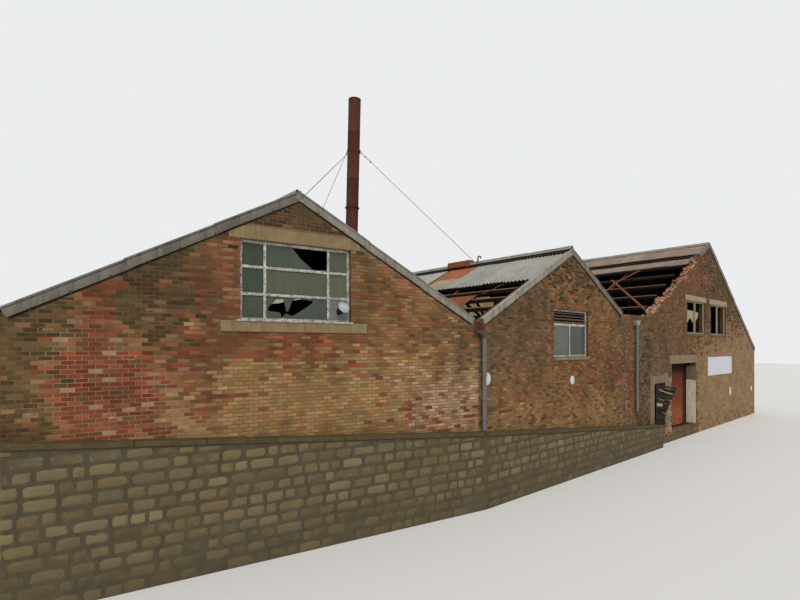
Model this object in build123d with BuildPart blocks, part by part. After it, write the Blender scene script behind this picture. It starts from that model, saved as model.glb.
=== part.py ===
from build123d import *
import os
from math import cos, sin, tan, atan2, radians, hypot

os.makedirs("parts", exist_ok=True)

# A derelict brick works of three parallel sheds. Its front gables stand on bases that step down
# to the right.
# X runs along the two right-hand fronts, Y back along the ridges and Z up. The origin is the
# front corner between the left and the middle shed, at the level of the lowest footing.

# Plan
hall_depth = 16000
left_front_length = 10120
left_front_skew = 9.8
middle_span = 10000
right_span = 18200
wall = 340
right_front_wall = 450
floor_level = 500
slab_thickness = 200

# Roof heights, at the top of the sheets, and ridges, measured from each shed's left side
left_eave = 4950
valley_height = 5000
left_ridge = 7680
middle_ridge = 7650
right_ridge = 9840
right_eave = 4250
right_ridge_offset = 9200

# Roof build-up, measured square to the slope
sheet = 50
purlin_depth = 100
purlin_width = 75
angle_thickness = 10
rafter = 90
truss_thickness = 80
cap_thickness = 20
cap_wing = 260
verge_depth = 185
verge_thickness = 30
verge_roll = 90
sheet_overhang = 30

# Points in plan that follow from the sizes above
skew = radians(left_front_skew)
left_x = -left_front_length * cos(skew)
left_corner_y = left_front_length * sin(skew)
right_x = middle_span + right_span
right_ridge_x = middle_span + right_ridge_offset

# Each roof slope: foot x, foot height, top x, top height
slopes = {
    "left_west": (left_x, left_eave, left_x / 2, left_ridge),
    "left_east": (0, valley_height, left_x / 2, left_ridge),
    "middle_west": (0, valley_height, middle_span / 2, middle_ridge),
    "middle_east": (middle_span, valley_height, middle_span / 2, middle_ridge),
    "right_west": (middle_span, valley_height, right_ridge_x, right_ridge),
    "right_east": (right_x, right_eave, right_ridge_x, right_ridge),
}


def pitch(slope):
    """Angle of a slope above the level, in radians."""
    x0, z0, x1, z1 = slopes[slope]
    return atan2(z1 - z0, abs(x1 - x0))


def roof_z(slope, x, depth=0):
    """Height of the plane that lies depth below the top of the sheets, at x."""
    x0, z0, x1, z1 = slopes[slope]
    return z0 + (z1 - z0) * (x - x0) / (x1 - x0) - depth / cos(pitch(slope))


def ridge_z(west, east, depth=0):
    """Height at a ridge of the lower of its two slopes' planes at a depth."""
    ridge = slopes[west][2]
    return min(roof_z(west, ridge, depth), roof_z(east, ridge, depth))


def layer(slope, x_from, x_to, top, bottom):
    """Outline in X and Z of a slope's layer between two depths below the sheets' top."""
    return [
        (x_from, roof_z(slope, x_from, top)),
        (x_to, roof_z(slope, x_to, top)),
        (x_to, roof_z(slope, x_to, bottom)),
        (x_from, roof_z(slope, x_from, bottom)),
    ]


def chevron(west, east, x_from, x_to, top, bottom):
    """Outline in X and Z of one layer carried over a ridge from slope to slope."""
    ridge = slopes[west][2]
    return [
        (x_from, roof_z(west, x_from, top)),
        (ridge, ridge_z(west, east, top)),
        (x_to, roof_z(east, x_to, top)),
        (x_to, roof_z(east, x_to, bottom)),
        (ridge, ridge_z(west, east, bottom)),
        (x_from, roof_z(west, x_from, bottom)),
    ]


def along_y(points, y_from, y_to, mode=Mode.ADD):
    """Carries an outline in X and Z from one depth of the building to another."""
    with BuildSketch(Plane.XZ.offset(-y_from)) as outline:
        with BuildLine():
            Polyline(*points, close=True)
        make_face()
    extrude(outline.sketch, amount=-(y_to - y_from), mode=mode)


def upright(points, z_from, z_to, mode=Mode.ADD):
    """Raises an outline in plan from one height to another."""
    with BuildSketch(Plane.XY.offset(z_from)) as outline:
        with BuildLine():
            Polyline(*points, close=True)
        make_face()
    extrude(outline.sketch, amount=z_to - z_from, mode=mode)


def block(x, y, z, mode=Mode.ADD):
    """A squared block between pairs of x, y and z."""
    upright([(x[0], y[0]), (x[1], y[0]), (x[1], y[1]), (x[0], y[1])], z[0], z[1], mode)


def skew_point(along, inward):
    """A point in plan: along the left front from the valley corner, and inward from its face."""
    return (
        -along * cos(skew) + inward * sin(skew),
        along * sin(skew) + inward * cos(skew),
    )


def skew_block(along, inward, z, mode=Mode.ADD):
    """A block set square to the left front."""
    corners = [(along[0], inward[0]), (along[1], inward[0]), (along[1], inward[1]), (along[0], inward[1])]
    upright([skew_point(*corner) for corner in corners], z[0], z[1], mode)


def front_y(x, inward=0):
    """Depth of the left shed's front line, or of a line inward of it, at x."""
    return -x * tan(skew) + inward / cos(skew)


def bar(start, end, depth):
    """Outline of a straight bar of the given depth about the line between two points."""
    length = hypot(end[0] - start[0], end[1] - start[1])
    side = (-(end[1] - start[1]) / length * depth / 2, (end[0] - start[0]) / length * depth / 2)
    return [
        (start[0] + side[0], start[1] + side[1]),
        (end[0] + side[0], end[1] + side[1]),
        (end[0] - side[0], end[1] - side[1]),
        (start[0] - side[0], start[1] - side[1]),
    ]


pieces = []


def finish(builder, name):
    """Labels a finished piece and writes it out."""
    builder.part.label = name
    export_step(builder.part, f"parts/{name}.step")
    pieces.append(builder.part)


# Openings: left, right, sill and head. The left window is measured from the valley corner.
left_window_near = left_front_length * 0.3775
left_window_far = left_front_length * 0.6235
left_window_sill = 4880
left_window_head = 6550
middle_window_width = 2280
middle_window_left = middle_span / 2 - 1170
middle_window_right = middle_window_left + middle_window_width
middle_window_sill = 4000
middle_window_head = 5580
right_window_width = 2600
right_window_gap = 960
right_window_shift = -230
right_window_sill = 5000
right_window_head = 6620
doorway_left = middle_span + 3900
doorway_width = 3250
doorway_right = doorway_left + doorway_width
doorway_head = 3550
hatch_left = middle_span + 1900
hatch_width = 1200
hatch_right = hatch_left + hatch_width
hatch_sill = 1000
hatch_head = 2740
back_window_width = 2400
back_window_height = 1600
back_window_sill = 4900

# Concrete set into the brickwork
lintel_height = 280
door_lintel_height = 400
lintel_bearing = 230
left_lintel_bearing = left_front_length * 0.0227
sill_height = 240
sill_bearing = 400
sill_projection = 40
right_sill_height = 110

right_windows = [
    right_ridge_x + right_window_shift - right_window_gap / 2 - right_window_width,
    right_ridge_x + right_window_shift + right_window_gap / 2,
]

# Valley gutters lie between the sheds and reach out through the fronts
gutter_half = 150
gutter_wall = 10
gutter_depth = 170
tie_height = 4700
tie_depth = 80
gutter_sole = tie_height + tie_depth
gutter_reach = 120

# Left gable wall: brickwork set square to the skewed front and topped by the roof's slopes
lintel_near = left_window_near - left_lintel_bearing
lintel_far = left_window_far + left_lintel_bearing
left_sill_near = left_window_near - sill_bearing
left_sill_far = left_window_far + sill_bearing
with BuildPart() as left_gable_wall:
    skew_block((0, left_front_length), (0, wall), (0, left_ridge))
    under_sheets = [
        (left_x - wall, 0),
        (left_x - wall, roof_z("left_west", left_x - wall, sheet)),
        (left_x / 2, ridge_z("left_west", "left_east", sheet)),
        (wall, roof_z("left_east", wall, sheet)),
        (wall, 0),
    ]
    along_y(under_sheets, -wall, left_corner_y + 2 * wall, Mode.INTERSECT)
    block((left_x - wall, left_x), (-wall, left_corner_y + 2 * wall), (0, left_ridge), Mode.SUBTRACT)
    block((0, wall), (-wall, 2 * wall), (0, left_ridge), Mode.SUBTRACT)
    skew_block((left_window_near, left_window_far), (-wall, 2 * wall),
               (left_window_sill, left_window_head), Mode.SUBTRACT)
    skew_block((lintel_near, lintel_far), (-wall, 2 * wall),
               (left_window_head, left_window_head + lintel_height), Mode.SUBTRACT)
    skew_block((left_sill_near, left_sill_far), (-wall, 2 * wall),
               (left_window_sill - sill_height, left_window_sill), Mode.SUBTRACT)
    block((-gutter_half, gutter_half), (-wall, 2 * wall), (gutter_sole, left_ridge), Mode.SUBTRACT)
finish(left_gable_wall, "left_gable_wall")

# Middle gable wall, flat-topped where it meets the parapet over the second valley
parapet_height = 5620
parapet_half = 1250
parapet_left = middle_span - parapet_half
parapet_right = middle_span + parapet_half
with BuildPart() as middle_gable_wall:
    middle_top = [
        (0, 0),
        (0, roof_z("middle_west", 0, sheet)),
        (middle_span / 2, roof_z("middle_west", middle_span / 2, sheet)),
        (parapet_left, roof_z("middle_east", parapet_left, sheet)),
        (parapet_left, parapet_height),
        (middle_span, parapet_height),
        (middle_span, 0),
    ]
    along_y(middle_top, 0, wall)
    block((middle_window_left, middle_window_right), (-wall, 2 * wall),
          (middle_window_sill, middle_window_head), Mode.SUBTRACT)
    block((-gutter_half, gutter_half), (-wall, 2 * wall), (gutter_sole, middle_ridge), Mode.SUBTRACT)
finish(middle_gable_wall, "middle_gable_wall")

# Right gable wall: thicker, with its left slope broken down brick by brick
broken_top = [
    (1700, 160), (2150, 60), (2600, 230), (3250, 120), (3600, 300), (4200, 180),
    (4700, 330), (5300, 210), (5900, 340), (6500, 170), (7050, 260), (7500, 90),
]
verge_foot_x = right_ridge_x - 1550
with BuildPart() as right_gable_wall:
    right_top = [(middle_span, 0), (middle_span, parapet_height), (parapet_right, parapet_height)]
    for x, drop in broken_top:
        right_top.append((middle_span + x, roof_z("right_west", middle_span + x, sheet) - drop))
    right_top += [
        (verge_foot_x, roof_z("right_west", verge_foot_x, sheet)),
        (right_ridge_x, ridge_z("right_west", "right_east", sheet)),
        (right_x, roof_z("right_east", right_x, sheet)),
        (right_x, 0),
    ]
    along_y(right_top, 0, right_front_wall)
    for x in right_windows:
        block((x, x + right_window_width), (-wall, 2 * wall),
              (right_window_sill - right_sill_height, right_window_head), Mode.SUBTRACT)
        block((x - lintel_bearing, x + right_window_width + lintel_bearing), (-wall, 2 * wall),
              (right_window_head, right_window_head + lintel_height), Mode.SUBTRACT)
    block((doorway_left, doorway_right), (-wall, 2 * wall), (floor_level, doorway_head), Mode.SUBTRACT)
    block((doorway_left - lintel_bearing, doorway_right + lintel_bearing), (-wall, 2 * wall),
          (doorway_head, doorway_head + door_lintel_height), Mode.SUBTRACT)
    block((hatch_left, hatch_right), (-wall, 2 * wall), (hatch_sill, hatch_head), Mode.SUBTRACT)
finish(right_gable_wall, "right_gable_wall")

# Side walls stand between the gables, and carry the outer feet of the roof
with BuildPart() as left_side_wall:
    left_side_top = [
        (left_x, 0),
        (left_x, roof_z("left_west", left_x, sheet)),
        (left_x + wall, roof_z("left_west", left_x + wall, sheet)),
        (left_x + wall, 0),
    ]
    along_y(left_side_top, left_corner_y - wall, hall_depth - wall)
    skew_block((left_front_length - 3 * wall, left_front_length + wall), (-2 * wall, wall),
               (0, left_ridge), Mode.SUBTRACT)
finish(left_side_wall, "left_side_wall")

with BuildPart() as right_side_wall:
    right_side_top = [
        (right_x - wall, 0),
        (right_x - wall, roof_z("right_east", right_x - wall, sheet)),
        (right_x, roof_z("right_east", right_x, sheet)),
        (right_x, 0),
    ]
    along_y(right_side_top, right_front_wall, hall_depth - wall)
finish(right_side_wall, "right_side_wall")

# Back wall: three plain gables with one window each
back_centres = [left_x / 2, middle_span / 2, right_ridge_x]
with BuildPart() as back_wall:
    back_top = [(left_x, 0)]
    for west, east in (("left_west", "left_east"), ("middle_west", "middle_east"), ("right_west", "right_east")):
        back_top += [(slopes[west][0], roof_z(west, slopes[west][0], sheet)),
                     (slopes[west][2], roof_z(west, slopes[west][2], sheet)),
                     (slopes[east][2], roof_z(east, slopes[east][2], sheet)),
                     (slopes[east][0], roof_z(east, slopes[east][0], sheet))]
    back_top.append((right_x, 0))
    corners = [point for i, point in enumerate(back_top) if point != back_top[i - 1]]
    along_y(corners, hall_depth - wall, hall_depth)
    for x in back_centres:
        block((x - back_window_width / 2, x + back_window_width / 2), (hall_depth - 2 * wall, hall_depth + wall),
              (back_window_sill, back_window_sill + back_window_height), Mode.SUBTRACT)
    for x in (0, middle_span):
        block((x - gutter_half, x + gutter_half), (hall_depth - 2 * wall, hall_depth + wall),
              (gutter_sole, left_ridge), Mode.SUBTRACT)
finish(back_wall, "back_wall")

# Concrete floor inside all the walls
with BuildPart() as concrete_floor:
    inner_left = left_x + wall
    floor_outline = [
        (inner_left, front_y(inner_left, wall)),
        (0, front_y(0, wall)),
        (middle_span, wall),
        (middle_span, right_front_wall),
        (right_x - wall, right_front_wall),
        (right_x - wall, hall_depth - wall),
        (inner_left, hall_depth - wall),
    ]
    upright(floor_outline, floor_level - slab_thickness, floor_level)
finish(concrete_floor, "concrete_floor")

# Lintels and sills of cast concrete, one piece deep through the wall
with BuildPart() as concrete_lintels:
    skew_block((lintel_near, lintel_far), (0, wall), (left_window_head, left_window_head + lintel_height))
    along_y(under_sheets, -wall, left_corner_y + 2 * wall, Mode.INTERSECT)
    for x in right_windows:
        block((x - lintel_bearing, x + right_window_width + lintel_bearing), (0, right_front_wall),
              (right_window_head, right_window_head + lintel_height))
    block((doorway_left - lintel_bearing, doorway_right + lintel_bearing), (0, right_front_wall),
          (doorway_head, doorway_head + door_lintel_height))
finish(concrete_lintels, "concrete_lintels")

with BuildPart() as concrete_sills:
    skew_block((left_sill_near, left_sill_far), (-sill_projection, wall),
               (left_window_sill - sill_height, left_window_sill))
    block((middle_window_left, middle_window_right), (-sill_projection, 0),
          (middle_window_sill - right_sill_height, middle_window_sill))
    for x in right_windows:
        block((x, x + right_window_width), (-sill_projection, right_front_wall),
              (right_window_sill - right_sill_height, right_window_sill))
finish(concrete_sills, "concrete_sills")

# Base wall of rubble under the left and middle fronts, with a concrete ledge on top that slopes
# down to the right.
base_projection = 300
ledge_thickness = 90
ledge_overhang = 40
ledge_at_left = 2790
ledge_at_corner = 2050
ledge_at_end = 960
ledge_end_x = middle_span + 2100


def ledge_line(top_drop):
    """Outline in X and Z of everything below the ledge's top, less a drop."""
    return [
        (left_x, ledge_at_left - top_drop),
        (0, ledge_at_corner - top_drop),
        (ledge_end_x, ledge_at_end - top_drop),
    ]


def ledge_top(x):
    """Height of the ledge's top along the middle front."""
    return ledge_at_corner + (ledge_at_end - ledge_at_corner) * x / ledge_end_x


def base_outline(projection):
    """Plan of the strip in front of the left and middle fronts."""
    corner_x = -projection * tan(skew / 2)
    return [
        (left_x, front_y(left_x)),
        (0, 0),
        (ledge_end_x, 0),
        (ledge_end_x, -projection),
        (corner_x, -projection),
        (left_x, front_y(left_x, -projection)),
    ]


with BuildPart() as base_wall:
    upright(base_outline(base_projection), 0, ledge_at_left)
    under_ledge = ledge_line(ledge_thickness)
    along_y([(left_x, 0)] + under_ledge + [(ledge_end_x, 0)],
            -wall * 2, left_corner_y + wall, Mode.INTERSECT)
finish(base_wall, "base_wall")

with BuildPart() as base_ledge:
    upright(base_outline(base_projection + ledge_overhang), 0, ledge_at_left)
    along_y(ledge_line(ledge_thickness) + ledge_line(0)[::-1],
            -wall * 2, left_corner_y + wall, Mode.INTERSECT)
finish(base_ledge, "base_ledge")

# Roof sheets. Each slope stops short of the valley, so that it drips into the gutter.
valley_gap = 130
ridge_gap = 250
eave_overhang = 150
middle_sheets_foot = middle_span / 2 - 2250
right_band_one_foot = right_ridge_x - 1400
right_band_two = (right_ridge_x - 2550, right_ridge_x - 1650)


def left_roof_plan(x_from, x_to, y_to=hall_depth + sheet_overhang):
    """Plan of a left roof slope, whose front edge follows the skewed front."""
    return [
        (x_from, front_y(x_from)),
        (x_to, front_y(x_to)),
        (x_to, y_to),
        (x_from, y_to),
    ]


with BuildPart() as left_roof_west:
    upright(left_roof_plan(left_x - eave_overhang, left_x / 2), 0, left_ridge)
    along_y(layer("left_west", left_x - eave_overhang, left_x / 2, 0, sheet),
            -wall, hall_depth + wall, Mode.INTERSECT)
finish(left_roof_west, "left_roof_west")

with BuildPart() as left_roof_east:
    upright(left_roof_plan(left_x / 2, -valley_gap), 0, left_ridge)
    along_y(layer("left_east", left_x / 2, -valley_gap, 0, sheet),
            -wall, hall_depth + wall, Mode.INTERSECT)
finish(left_roof_east, "left_roof_east")

# Middle roof: the west slope has lost its lower sheets, and has a ragged lower edge
ragged_edge = [0, 90, 20, 130, 60, 10, 160, 100, 40, 140, 30, 110]
with BuildPart() as middle_roof_west:
    ragged = []
    for i, drop in enumerate(ragged_edge):
        step = hall_depth / len(ragged_edge)
        ragged += [(middle_sheets_foot + drop, i * step), (middle_sheets_foot + drop, (i + 1) * step)]
    upright([(middle_span / 2 - ridge_gap, 0)] + ragged
            + [(middle_span / 2 - ridge_gap, hall_depth)], 0, middle_ridge)
    along_y(layer("middle_west", 0, middle_span / 2, 0, sheet), -wall, hall_depth + wall, Mode.INTERSECT)
finish(middle_roof_west, "middle_roof_west")

with BuildPart() as middle_roof_east:
    along_y(layer("middle_east", middle_span / 2 + ridge_gap, parapet_left, 0, sheet),
            0, hall_depth + sheet_overhang)
    along_y(layer("middle_east", parapet_left, middle_span - valley_gap, 0, sheet),
            wall, hall_depth + sheet_overhang)
finish(middle_roof_east, "middle_roof_east")

# Right roof: the west slope keeps two bands of sheets near the ridge
with BuildPart() as right_roof_west:
    along_y(layer("right_west", right_band_one_foot, right_ridge_x, 0, sheet),
            0, hall_depth + sheet_overhang)
    along_y(layer("right_west", right_band_two[0], right_band_two[1], 0, sheet),
            right_front_wall, hall_depth + sheet_overhang)
finish(right_roof_west, "right_roof_west")

with BuildPart() as right_roof_east:
    along_y(layer("right_east", right_ridge_x, right_x + eave_overhang, 0, sheet),
            0, hall_depth + sheet_overhang)
finish(right_roof_east, "right_roof_east")

# Ridge caps: angled wings over both slopes. The middle one stands clear, on its ridge board.
cap_lift = 50
with BuildPart() as left_cap:
    upright([(left_x / 2 - cap_wing, front_y(left_x / 2 - cap_wing, verge_roll)),
             (left_x / 2 + cap_wing, front_y(left_x / 2 + cap_wing, verge_roll)),
             (left_x / 2 + cap_wing, hall_depth), (left_x / 2 - cap_wing, hall_depth)], 0, right_ridge)
    along_y(chevron("left_west", "left_east", left_x / 2 - cap_wing, left_x / 2 + cap_wing,
                    -cap_thickness, 0), -wall, hall_depth + wall, Mode.INTERSECT)
with BuildPart() as ridge_caps:
    add(left_cap.part)
    along_y(chevron("middle_west", "middle_east", middle_span / 2 - cap_wing, middle_span / 2 + cap_wing,
                    -cap_lift - cap_thickness, -cap_lift), 0, hall_depth)
    along_y(chevron("right_west", "right_east", right_ridge_x - cap_wing, right_ridge_x + cap_wing,
                    -cap_thickness, 0), verge_roll, hall_depth)
finish(ridge_caps, "ridge_caps")

# Verge boards: an upright leg on the gable's face and a roll over the edge of the sheets
verge_clearance = 10
verge_lip = 15
left_verge_ends = (left_x, -gutter_half - verge_clearance)
middle_verge_ends = (gutter_half + verge_clearance, parapet_left)
right_verge_ends = (verge_foot_x, right_x)
with BuildPart() as left_verge_face:
    skew_block((-wall, left_front_length + wall), (-verge_thickness, 0), (0, right_ridge))
    along_y(chevron("left_west", "left_east", *left_verge_ends, -verge_lip, verge_depth - verge_lip),
            -wall, left_corner_y + wall, Mode.INTERSECT)
with BuildPart() as left_verge_roll:
    skew_block((-wall, left_front_length + wall), (-verge_thickness, verge_roll), (0, right_ridge))
    along_y(chevron("left_west", "left_east", *left_verge_ends, -verge_lip, 0),
            -wall, left_corner_y + wall, Mode.INTERSECT)
with BuildPart() as verge_boards:
    add(left_verge_face.part)
    add(left_verge_roll.part)
    for west, east, ends in (("middle_west", "middle_east", middle_verge_ends),
                             ("right_west", "right_east", right_verge_ends)):
        along_y(chevron(west, east, *ends, -verge_lip, verge_depth - verge_lip), -verge_thickness, 0)
        along_y(chevron(west, east, *ends, -verge_lip, 0), -verge_thickness, verge_roll)
finish(verge_boards, "verge_boards")

# Steel posts and beams under the two valleys, and the gutters above them
truss_lines = [3200, 6400, 9600, 12800]
post_size = 200
beam_width = 150
beam_depth = 250
flange = 15
web = 12


def h_section(width, depth):
    """Section of a rolled steel joist about its own centre."""
    half = (width / 2, depth / 2)
    quarter = [(half[0], half[1]), (half[0], half[1] - flange), (web / 2, half[1] - flange)]
    right = quarter + [(x, -y) for x, y in quarter[::-1]]
    return right + [(-x, y) for x, y in right[::-1]]


with BuildPart() as valley_posts:
    for x in (0, middle_span):
        for y in truss_lines:
            centre = y + truss_thickness / 2
            upright([(x + px, centre + py) for px, py in h_section(post_size, post_size)],
                    floor_level, tie_height - beam_depth)
finish(valley_posts, "valley_posts")

with BuildPart() as valley_beams:
    for x in (0, middle_span):
        beam_centre = tie_height - beam_depth / 2
        along_y([(x + px, beam_centre + pz) for px, pz in h_section(beam_width, beam_depth)],
                right_front_wall, hall_depth - wall)
finish(valley_beams, "valley_beams")

with BuildPart() as valley_gutters:
    for x, y_from in ((0, -gutter_reach), (middle_span, right_front_wall)):
        outer = gutter_half
        inner = gutter_half - gutter_wall
        rim = gutter_sole + gutter_depth
        bed = gutter_sole + gutter_wall
        along_y([(x - outer, gutter_sole), (x - outer, rim), (x - inner, rim), (x - inner, bed),
                 (x + inner, bed), (x + inner, rim), (x + outer, rim), (x + outer, gutter_sole)],
                y_from, hall_depth + gutter_reach)
finish(valley_gutters, "valley_gutters")

# Roof trusses: rafters, a tie, a king post, and uprights and diagonals between the panel points
strut = 60
tie_gap = 40
heel_length = 450
rafter_top = sheet + purlin_depth
rafter_bottom = rafter_top + rafter
foot_gap = gutter_half + verge_clearance + 5


def truss_outlines(west, east, tie, feet, panels):
    """Outlines of a truss's members. tie and feet give the left and right ends of the tie and rafters."""
    ridge = slopes[west][2]
    outlines = [
        chevron(west, east, feet[0], feet[1], rafter_top, rafter_bottom),
        [(tie[0], tie_height), (tie[1], tie_height), (tie[1], tie_height + tie_depth),
         (tie[0], tie_height + tie_depth)],
    ]
    middle_of_rafter = rafter_top + rafter / 2
    middle_of_tie = tie_height + tie_depth / 2
    outlines.append(bar((ridge, middle_of_tie), (ridge, roof_z(west, ridge, middle_of_rafter)), strut))
    for slope, foot in ((west, feet[0]), (east, feet[1])):
        points = [foot + (ridge - foot) * i / panels for i in range(1, panels + 1)]
        for x, next_x in zip(points, points[1:]):
            outlines.append(bar((x, middle_of_tie), (x, roof_z(slope, x, middle_of_rafter)), strut))
            outlines.append(bar((next_x, middle_of_tie), (x, roof_z(slope, x, middle_of_rafter)), strut))
    for slope, foot, end in ((west, feet[0], tie[0]), (east, feet[1], tie[1])):
        if roof_z(slope, foot, rafter_bottom) > tie_height:
            inner = foot + heel_length * (1 if ridge > foot else -1)
            outlines.append([(foot, tie_height), (inner, tie_height),
                             (inner, roof_z(slope, inner, rafter_top + rafter / 2)),
                             (foot, roof_z(slope, foot, rafter_top + rafter / 2))])
    return outlines


def raise_truss(outlines, y):
    """Sets up one truss with its front face at y."""
    with BuildSketch(Plane.XZ.offset(-y)) as members:
        for outline in outlines:
            with BuildLine():
                Polyline(*outline, close=True)
            make_face()
    extrude(members.sketch, amount=-truss_thickness)


left_wall_face = left_x + wall
right_wall_face = right_x - wall
right_tie_end = (right_x + (right_ridge_x - right_x)
                 * (tie_height + tie_depth / 2 + rafter_bottom / cos(pitch("right_east")) - right_eave)
                 / (right_ridge - right_eave))
with BuildPart() as left_trusses:
    for y in truss_lines:
        raise_truss(truss_outlines("left_west", "left_east", (left_wall_face, -tie_gap),
                                   (left_wall_face, -foot_gap), 3), y)
finish(left_trusses, "left_trusses")

with BuildPart() as middle_trusses:
    for y in truss_lines:
        raise_truss(truss_outlines("middle_west", "middle_east", (tie_gap, middle_span - tie_gap),
                                   (foot_gap, middle_span - foot_gap), 3), y)
finish(middle_trusses, "middle_trusses")

with BuildPart() as right_trusses:
    for y in truss_lines:
        raise_truss(truss_outlines("right_west", "right_east", (middle_span + tie_gap, right_tie_end),
                                   (middle_span + foot_gap, right_wall_face), 4), y)
finish(right_trusses, "right_trusses")

# Angle purlins run from gable to gable on top of the rafters, with a ridge board at the top
ridge_board = 50
first_purlin = 350
wide_spacing = 1200
right_spacing = 1100
middle_first_purlin = 300
middle_spacing = 610
lowest_purlin = 250


def purlin(slope, x, y_from):
    """One angle with its flat leg against the sheets and its open side towards the ridge."""
    side = 1 if slopes[slope][2] > x else -1
    leg = x + side * angle_thickness
    toe = x + side * purlin_width
    along_y([(x, roof_z(slope, x, sheet)), (toe, roof_z(slope, toe, sheet)),
             (toe, roof_z(slope, toe, sheet + angle_thickness)),
             (leg, roof_z(slope, leg, sheet + angle_thickness)),
             (leg, roof_z(slope, leg, rafter_top)), (x, roof_z(slope, x, rafter_top))],
            y_from, hall_depth - wall)


def purlin_places(slope, first, spacing):
    """Every purlin's X on a slope, from the ridge down."""
    foot, _, ridge, _ = slopes[slope]
    side = 1 if foot > ridge else -1
    count = int((abs(foot - ridge) - lowest_purlin - wall - first) / spacing) + 1
    return [ridge + side * (first + i * spacing) for i in range(count)]


def ridge_timber(west, east, y_from, top):
    """The board along a ridge, whose top lies at a depth below the sheets."""
    ridge = slopes[west][2]
    edges = (ridge - ridge_board / 2, ridge + ridge_board / 2)
    head = min(roof_z(west, edges[0], top), roof_z(east, edges[1], top))
    seat = ridge_z(west, east, rafter_top)
    along_y([(edges[0], seat), (edges[0], head), (edges[1], head), (edges[1], seat)],
            y_from, hall_depth - wall)


with BuildPart() as left_purlins:
    for slope in ("left_west", "left_east"):
        for x in purlin_places(slope, first_purlin, wide_spacing):
            purlin(slope, x, front_y(x - purlin_width, wall))
    ridge_timber("left_west", "left_east", front_y(left_x / 2 - ridge_board, wall), sheet)
finish(left_purlins, "left_purlins")

with BuildPart() as middle_purlins:
    for slope in ("middle_west", "middle_east"):
        for x in purlin_places(slope, middle_first_purlin, middle_spacing):
            purlin(slope, x, wall)
    ridge_timber("middle_west", "middle_east", wall, -cap_lift)
finish(middle_purlins, "middle_purlins")

with BuildPart() as right_purlins:
    for slope in ("right_west", "right_east"):
        for x in purlin_places(slope, first_purlin, right_spacing):
            purlin(slope, x, right_front_wall)
    ridge_timber("right_west", "right_east", right_front_wall, sheet)
finish(right_purlins, "right_purlins")

# Two brace angles, joined where they cross, lie over the open purlins of the right roof
brace_width = 90
brace_thickness = 30
brace_crossing = (right_ridge_x - 3990, 3220)
brace_ends = [(right_ridge_x - 7250, 420), (right_ridge_x - 3550, 3620),
              (right_ridge_x - 6550, 3300), (right_ridge_x - 2610, 2514)]
with BuildPart() as right_roof_braces:
    for end in brace_ends:
        upright(bar(brace_crossing, end, brace_width), 0, right_ridge)
    along_y(layer("right_west", middle_span, right_ridge_x, sheet - brace_thickness, sheet),
            -wall, hall_depth, Mode.INTERSECT)
finish(right_roof_braces, "right_roof_braces")

# A loose sheet lies on the middle roof's open purlins, and a strip of flashing hangs above it
loose_sheet_x = (1000, 1950)
loose_sheet_y = (1600, 3300)
strip_ends = [(middle_sheets_foot - 50, 1150), (middle_sheets_foot - 710, 1470)]
with BuildPart() as flashing_strip:
    upright(bar(*strip_ends, brace_width), 0, right_ridge)
    along_y(layer("middle_west", 0, middle_span / 2, sheet - angle_thickness, sheet),
            -wall, hall_depth, Mode.INTERSECT)
with BuildPart() as loose_sheets:
    add(flashing_strip.part)
    along_y(layer("middle_west", *loose_sheet_x, 0, sheet), *loose_sheet_y)
finish(loose_sheets, "loose_sheets")

# Window frames: steel sections with the lights left open between their bars
frame_bar = 60
mullion = 50
frame_depth = 60
frame_inset = 90
pane_thickness = 8
pane_inset = 25
side_light = 500
transom_heights = [5430, 6000]
left_face = Plane(origin=(0, 0, 0), x_dir=(-cos(skew), sin(skew), 0), z_dir=(sin(skew), cos(skew), 0))


def rectangle(left, right, low, high, mode=Mode.ADD):
    """A rectangle given by its edges, in the sketch that is open."""
    with Locations(((left + right) / 2, (low + high) / 2)):
        Rectangle(right - left, high - low, mode=mode)


left_columns = [
    (left_window_near + frame_bar, left_window_near + side_light),
    (left_window_near + side_light + mullion, left_window_far - side_light - mullion),
    (left_window_far - side_light, left_window_far - frame_bar),
]
left_rows = [
    (left_window_sill + frame_bar, transom_heights[0] - mullion / 2),
    (transom_heights[0] + mullion / 2, transom_heights[1] - mullion / 2),
    (transom_heights[1] + mullion / 2, left_window_head - frame_bar),
]
with BuildPart() as left_window_frame:
    with BuildSketch(left_face.offset(frame_inset)):
        rectangle(left_window_near, left_window_far, left_window_sill, left_window_head)
        for column in left_columns:
            for row in left_rows:
                rectangle(*column, *row, mode=Mode.SUBTRACT)
    extrude(amount=frame_depth)
finish(left_window_frame, "left_window_frame")

# Panes of the left window, two of them broken. The lowest near light has a steel plate instead.
break_in_head_pane = [(0.02, 0.98), (0.06, 0.55), (0.22, 0.42), (0.36, 0.62), (0.5, 0.9), (0.62, 0.98)]
breaks_in_foot_pane = [
    [(0.22, 0.5), (0.34, 0.86), (0.5, 0.8), (0.44, 0.46), (0.33, 0.38)],
    [(0.6, 0.35), (0.68, 0.92), (0.86, 0.84), (0.8, 0.4)],
]


def break_out(column, row, outline):
    """Cuts a broken hole out of a pane. The outline is in shares of the light's width and height."""
    width = column[1] - column[0]
    height = row[1] - row[0]
    with BuildLine() as edge:
        Polyline(*[(column[0] + u * width, row[0] + v * height) for u, v in outline], close=True)
    make_face(edge.edges(), mode=Mode.SUBTRACT)


with BuildPart() as left_panes:
    with BuildSketch(left_face.offset(frame_inset + pane_inset)):
        for i, column in enumerate(left_columns):
            for j, row in enumerate(left_rows):
                if (i, j) != (0, 0):
                    rectangle(*column, *row)
        break_out(left_columns[1], left_rows[2], break_in_head_pane)
        for outline in breaks_in_foot_pane:
            break_out(left_columns[1], left_rows[0], outline)
    extrude(amount=pane_thickness)

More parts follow.
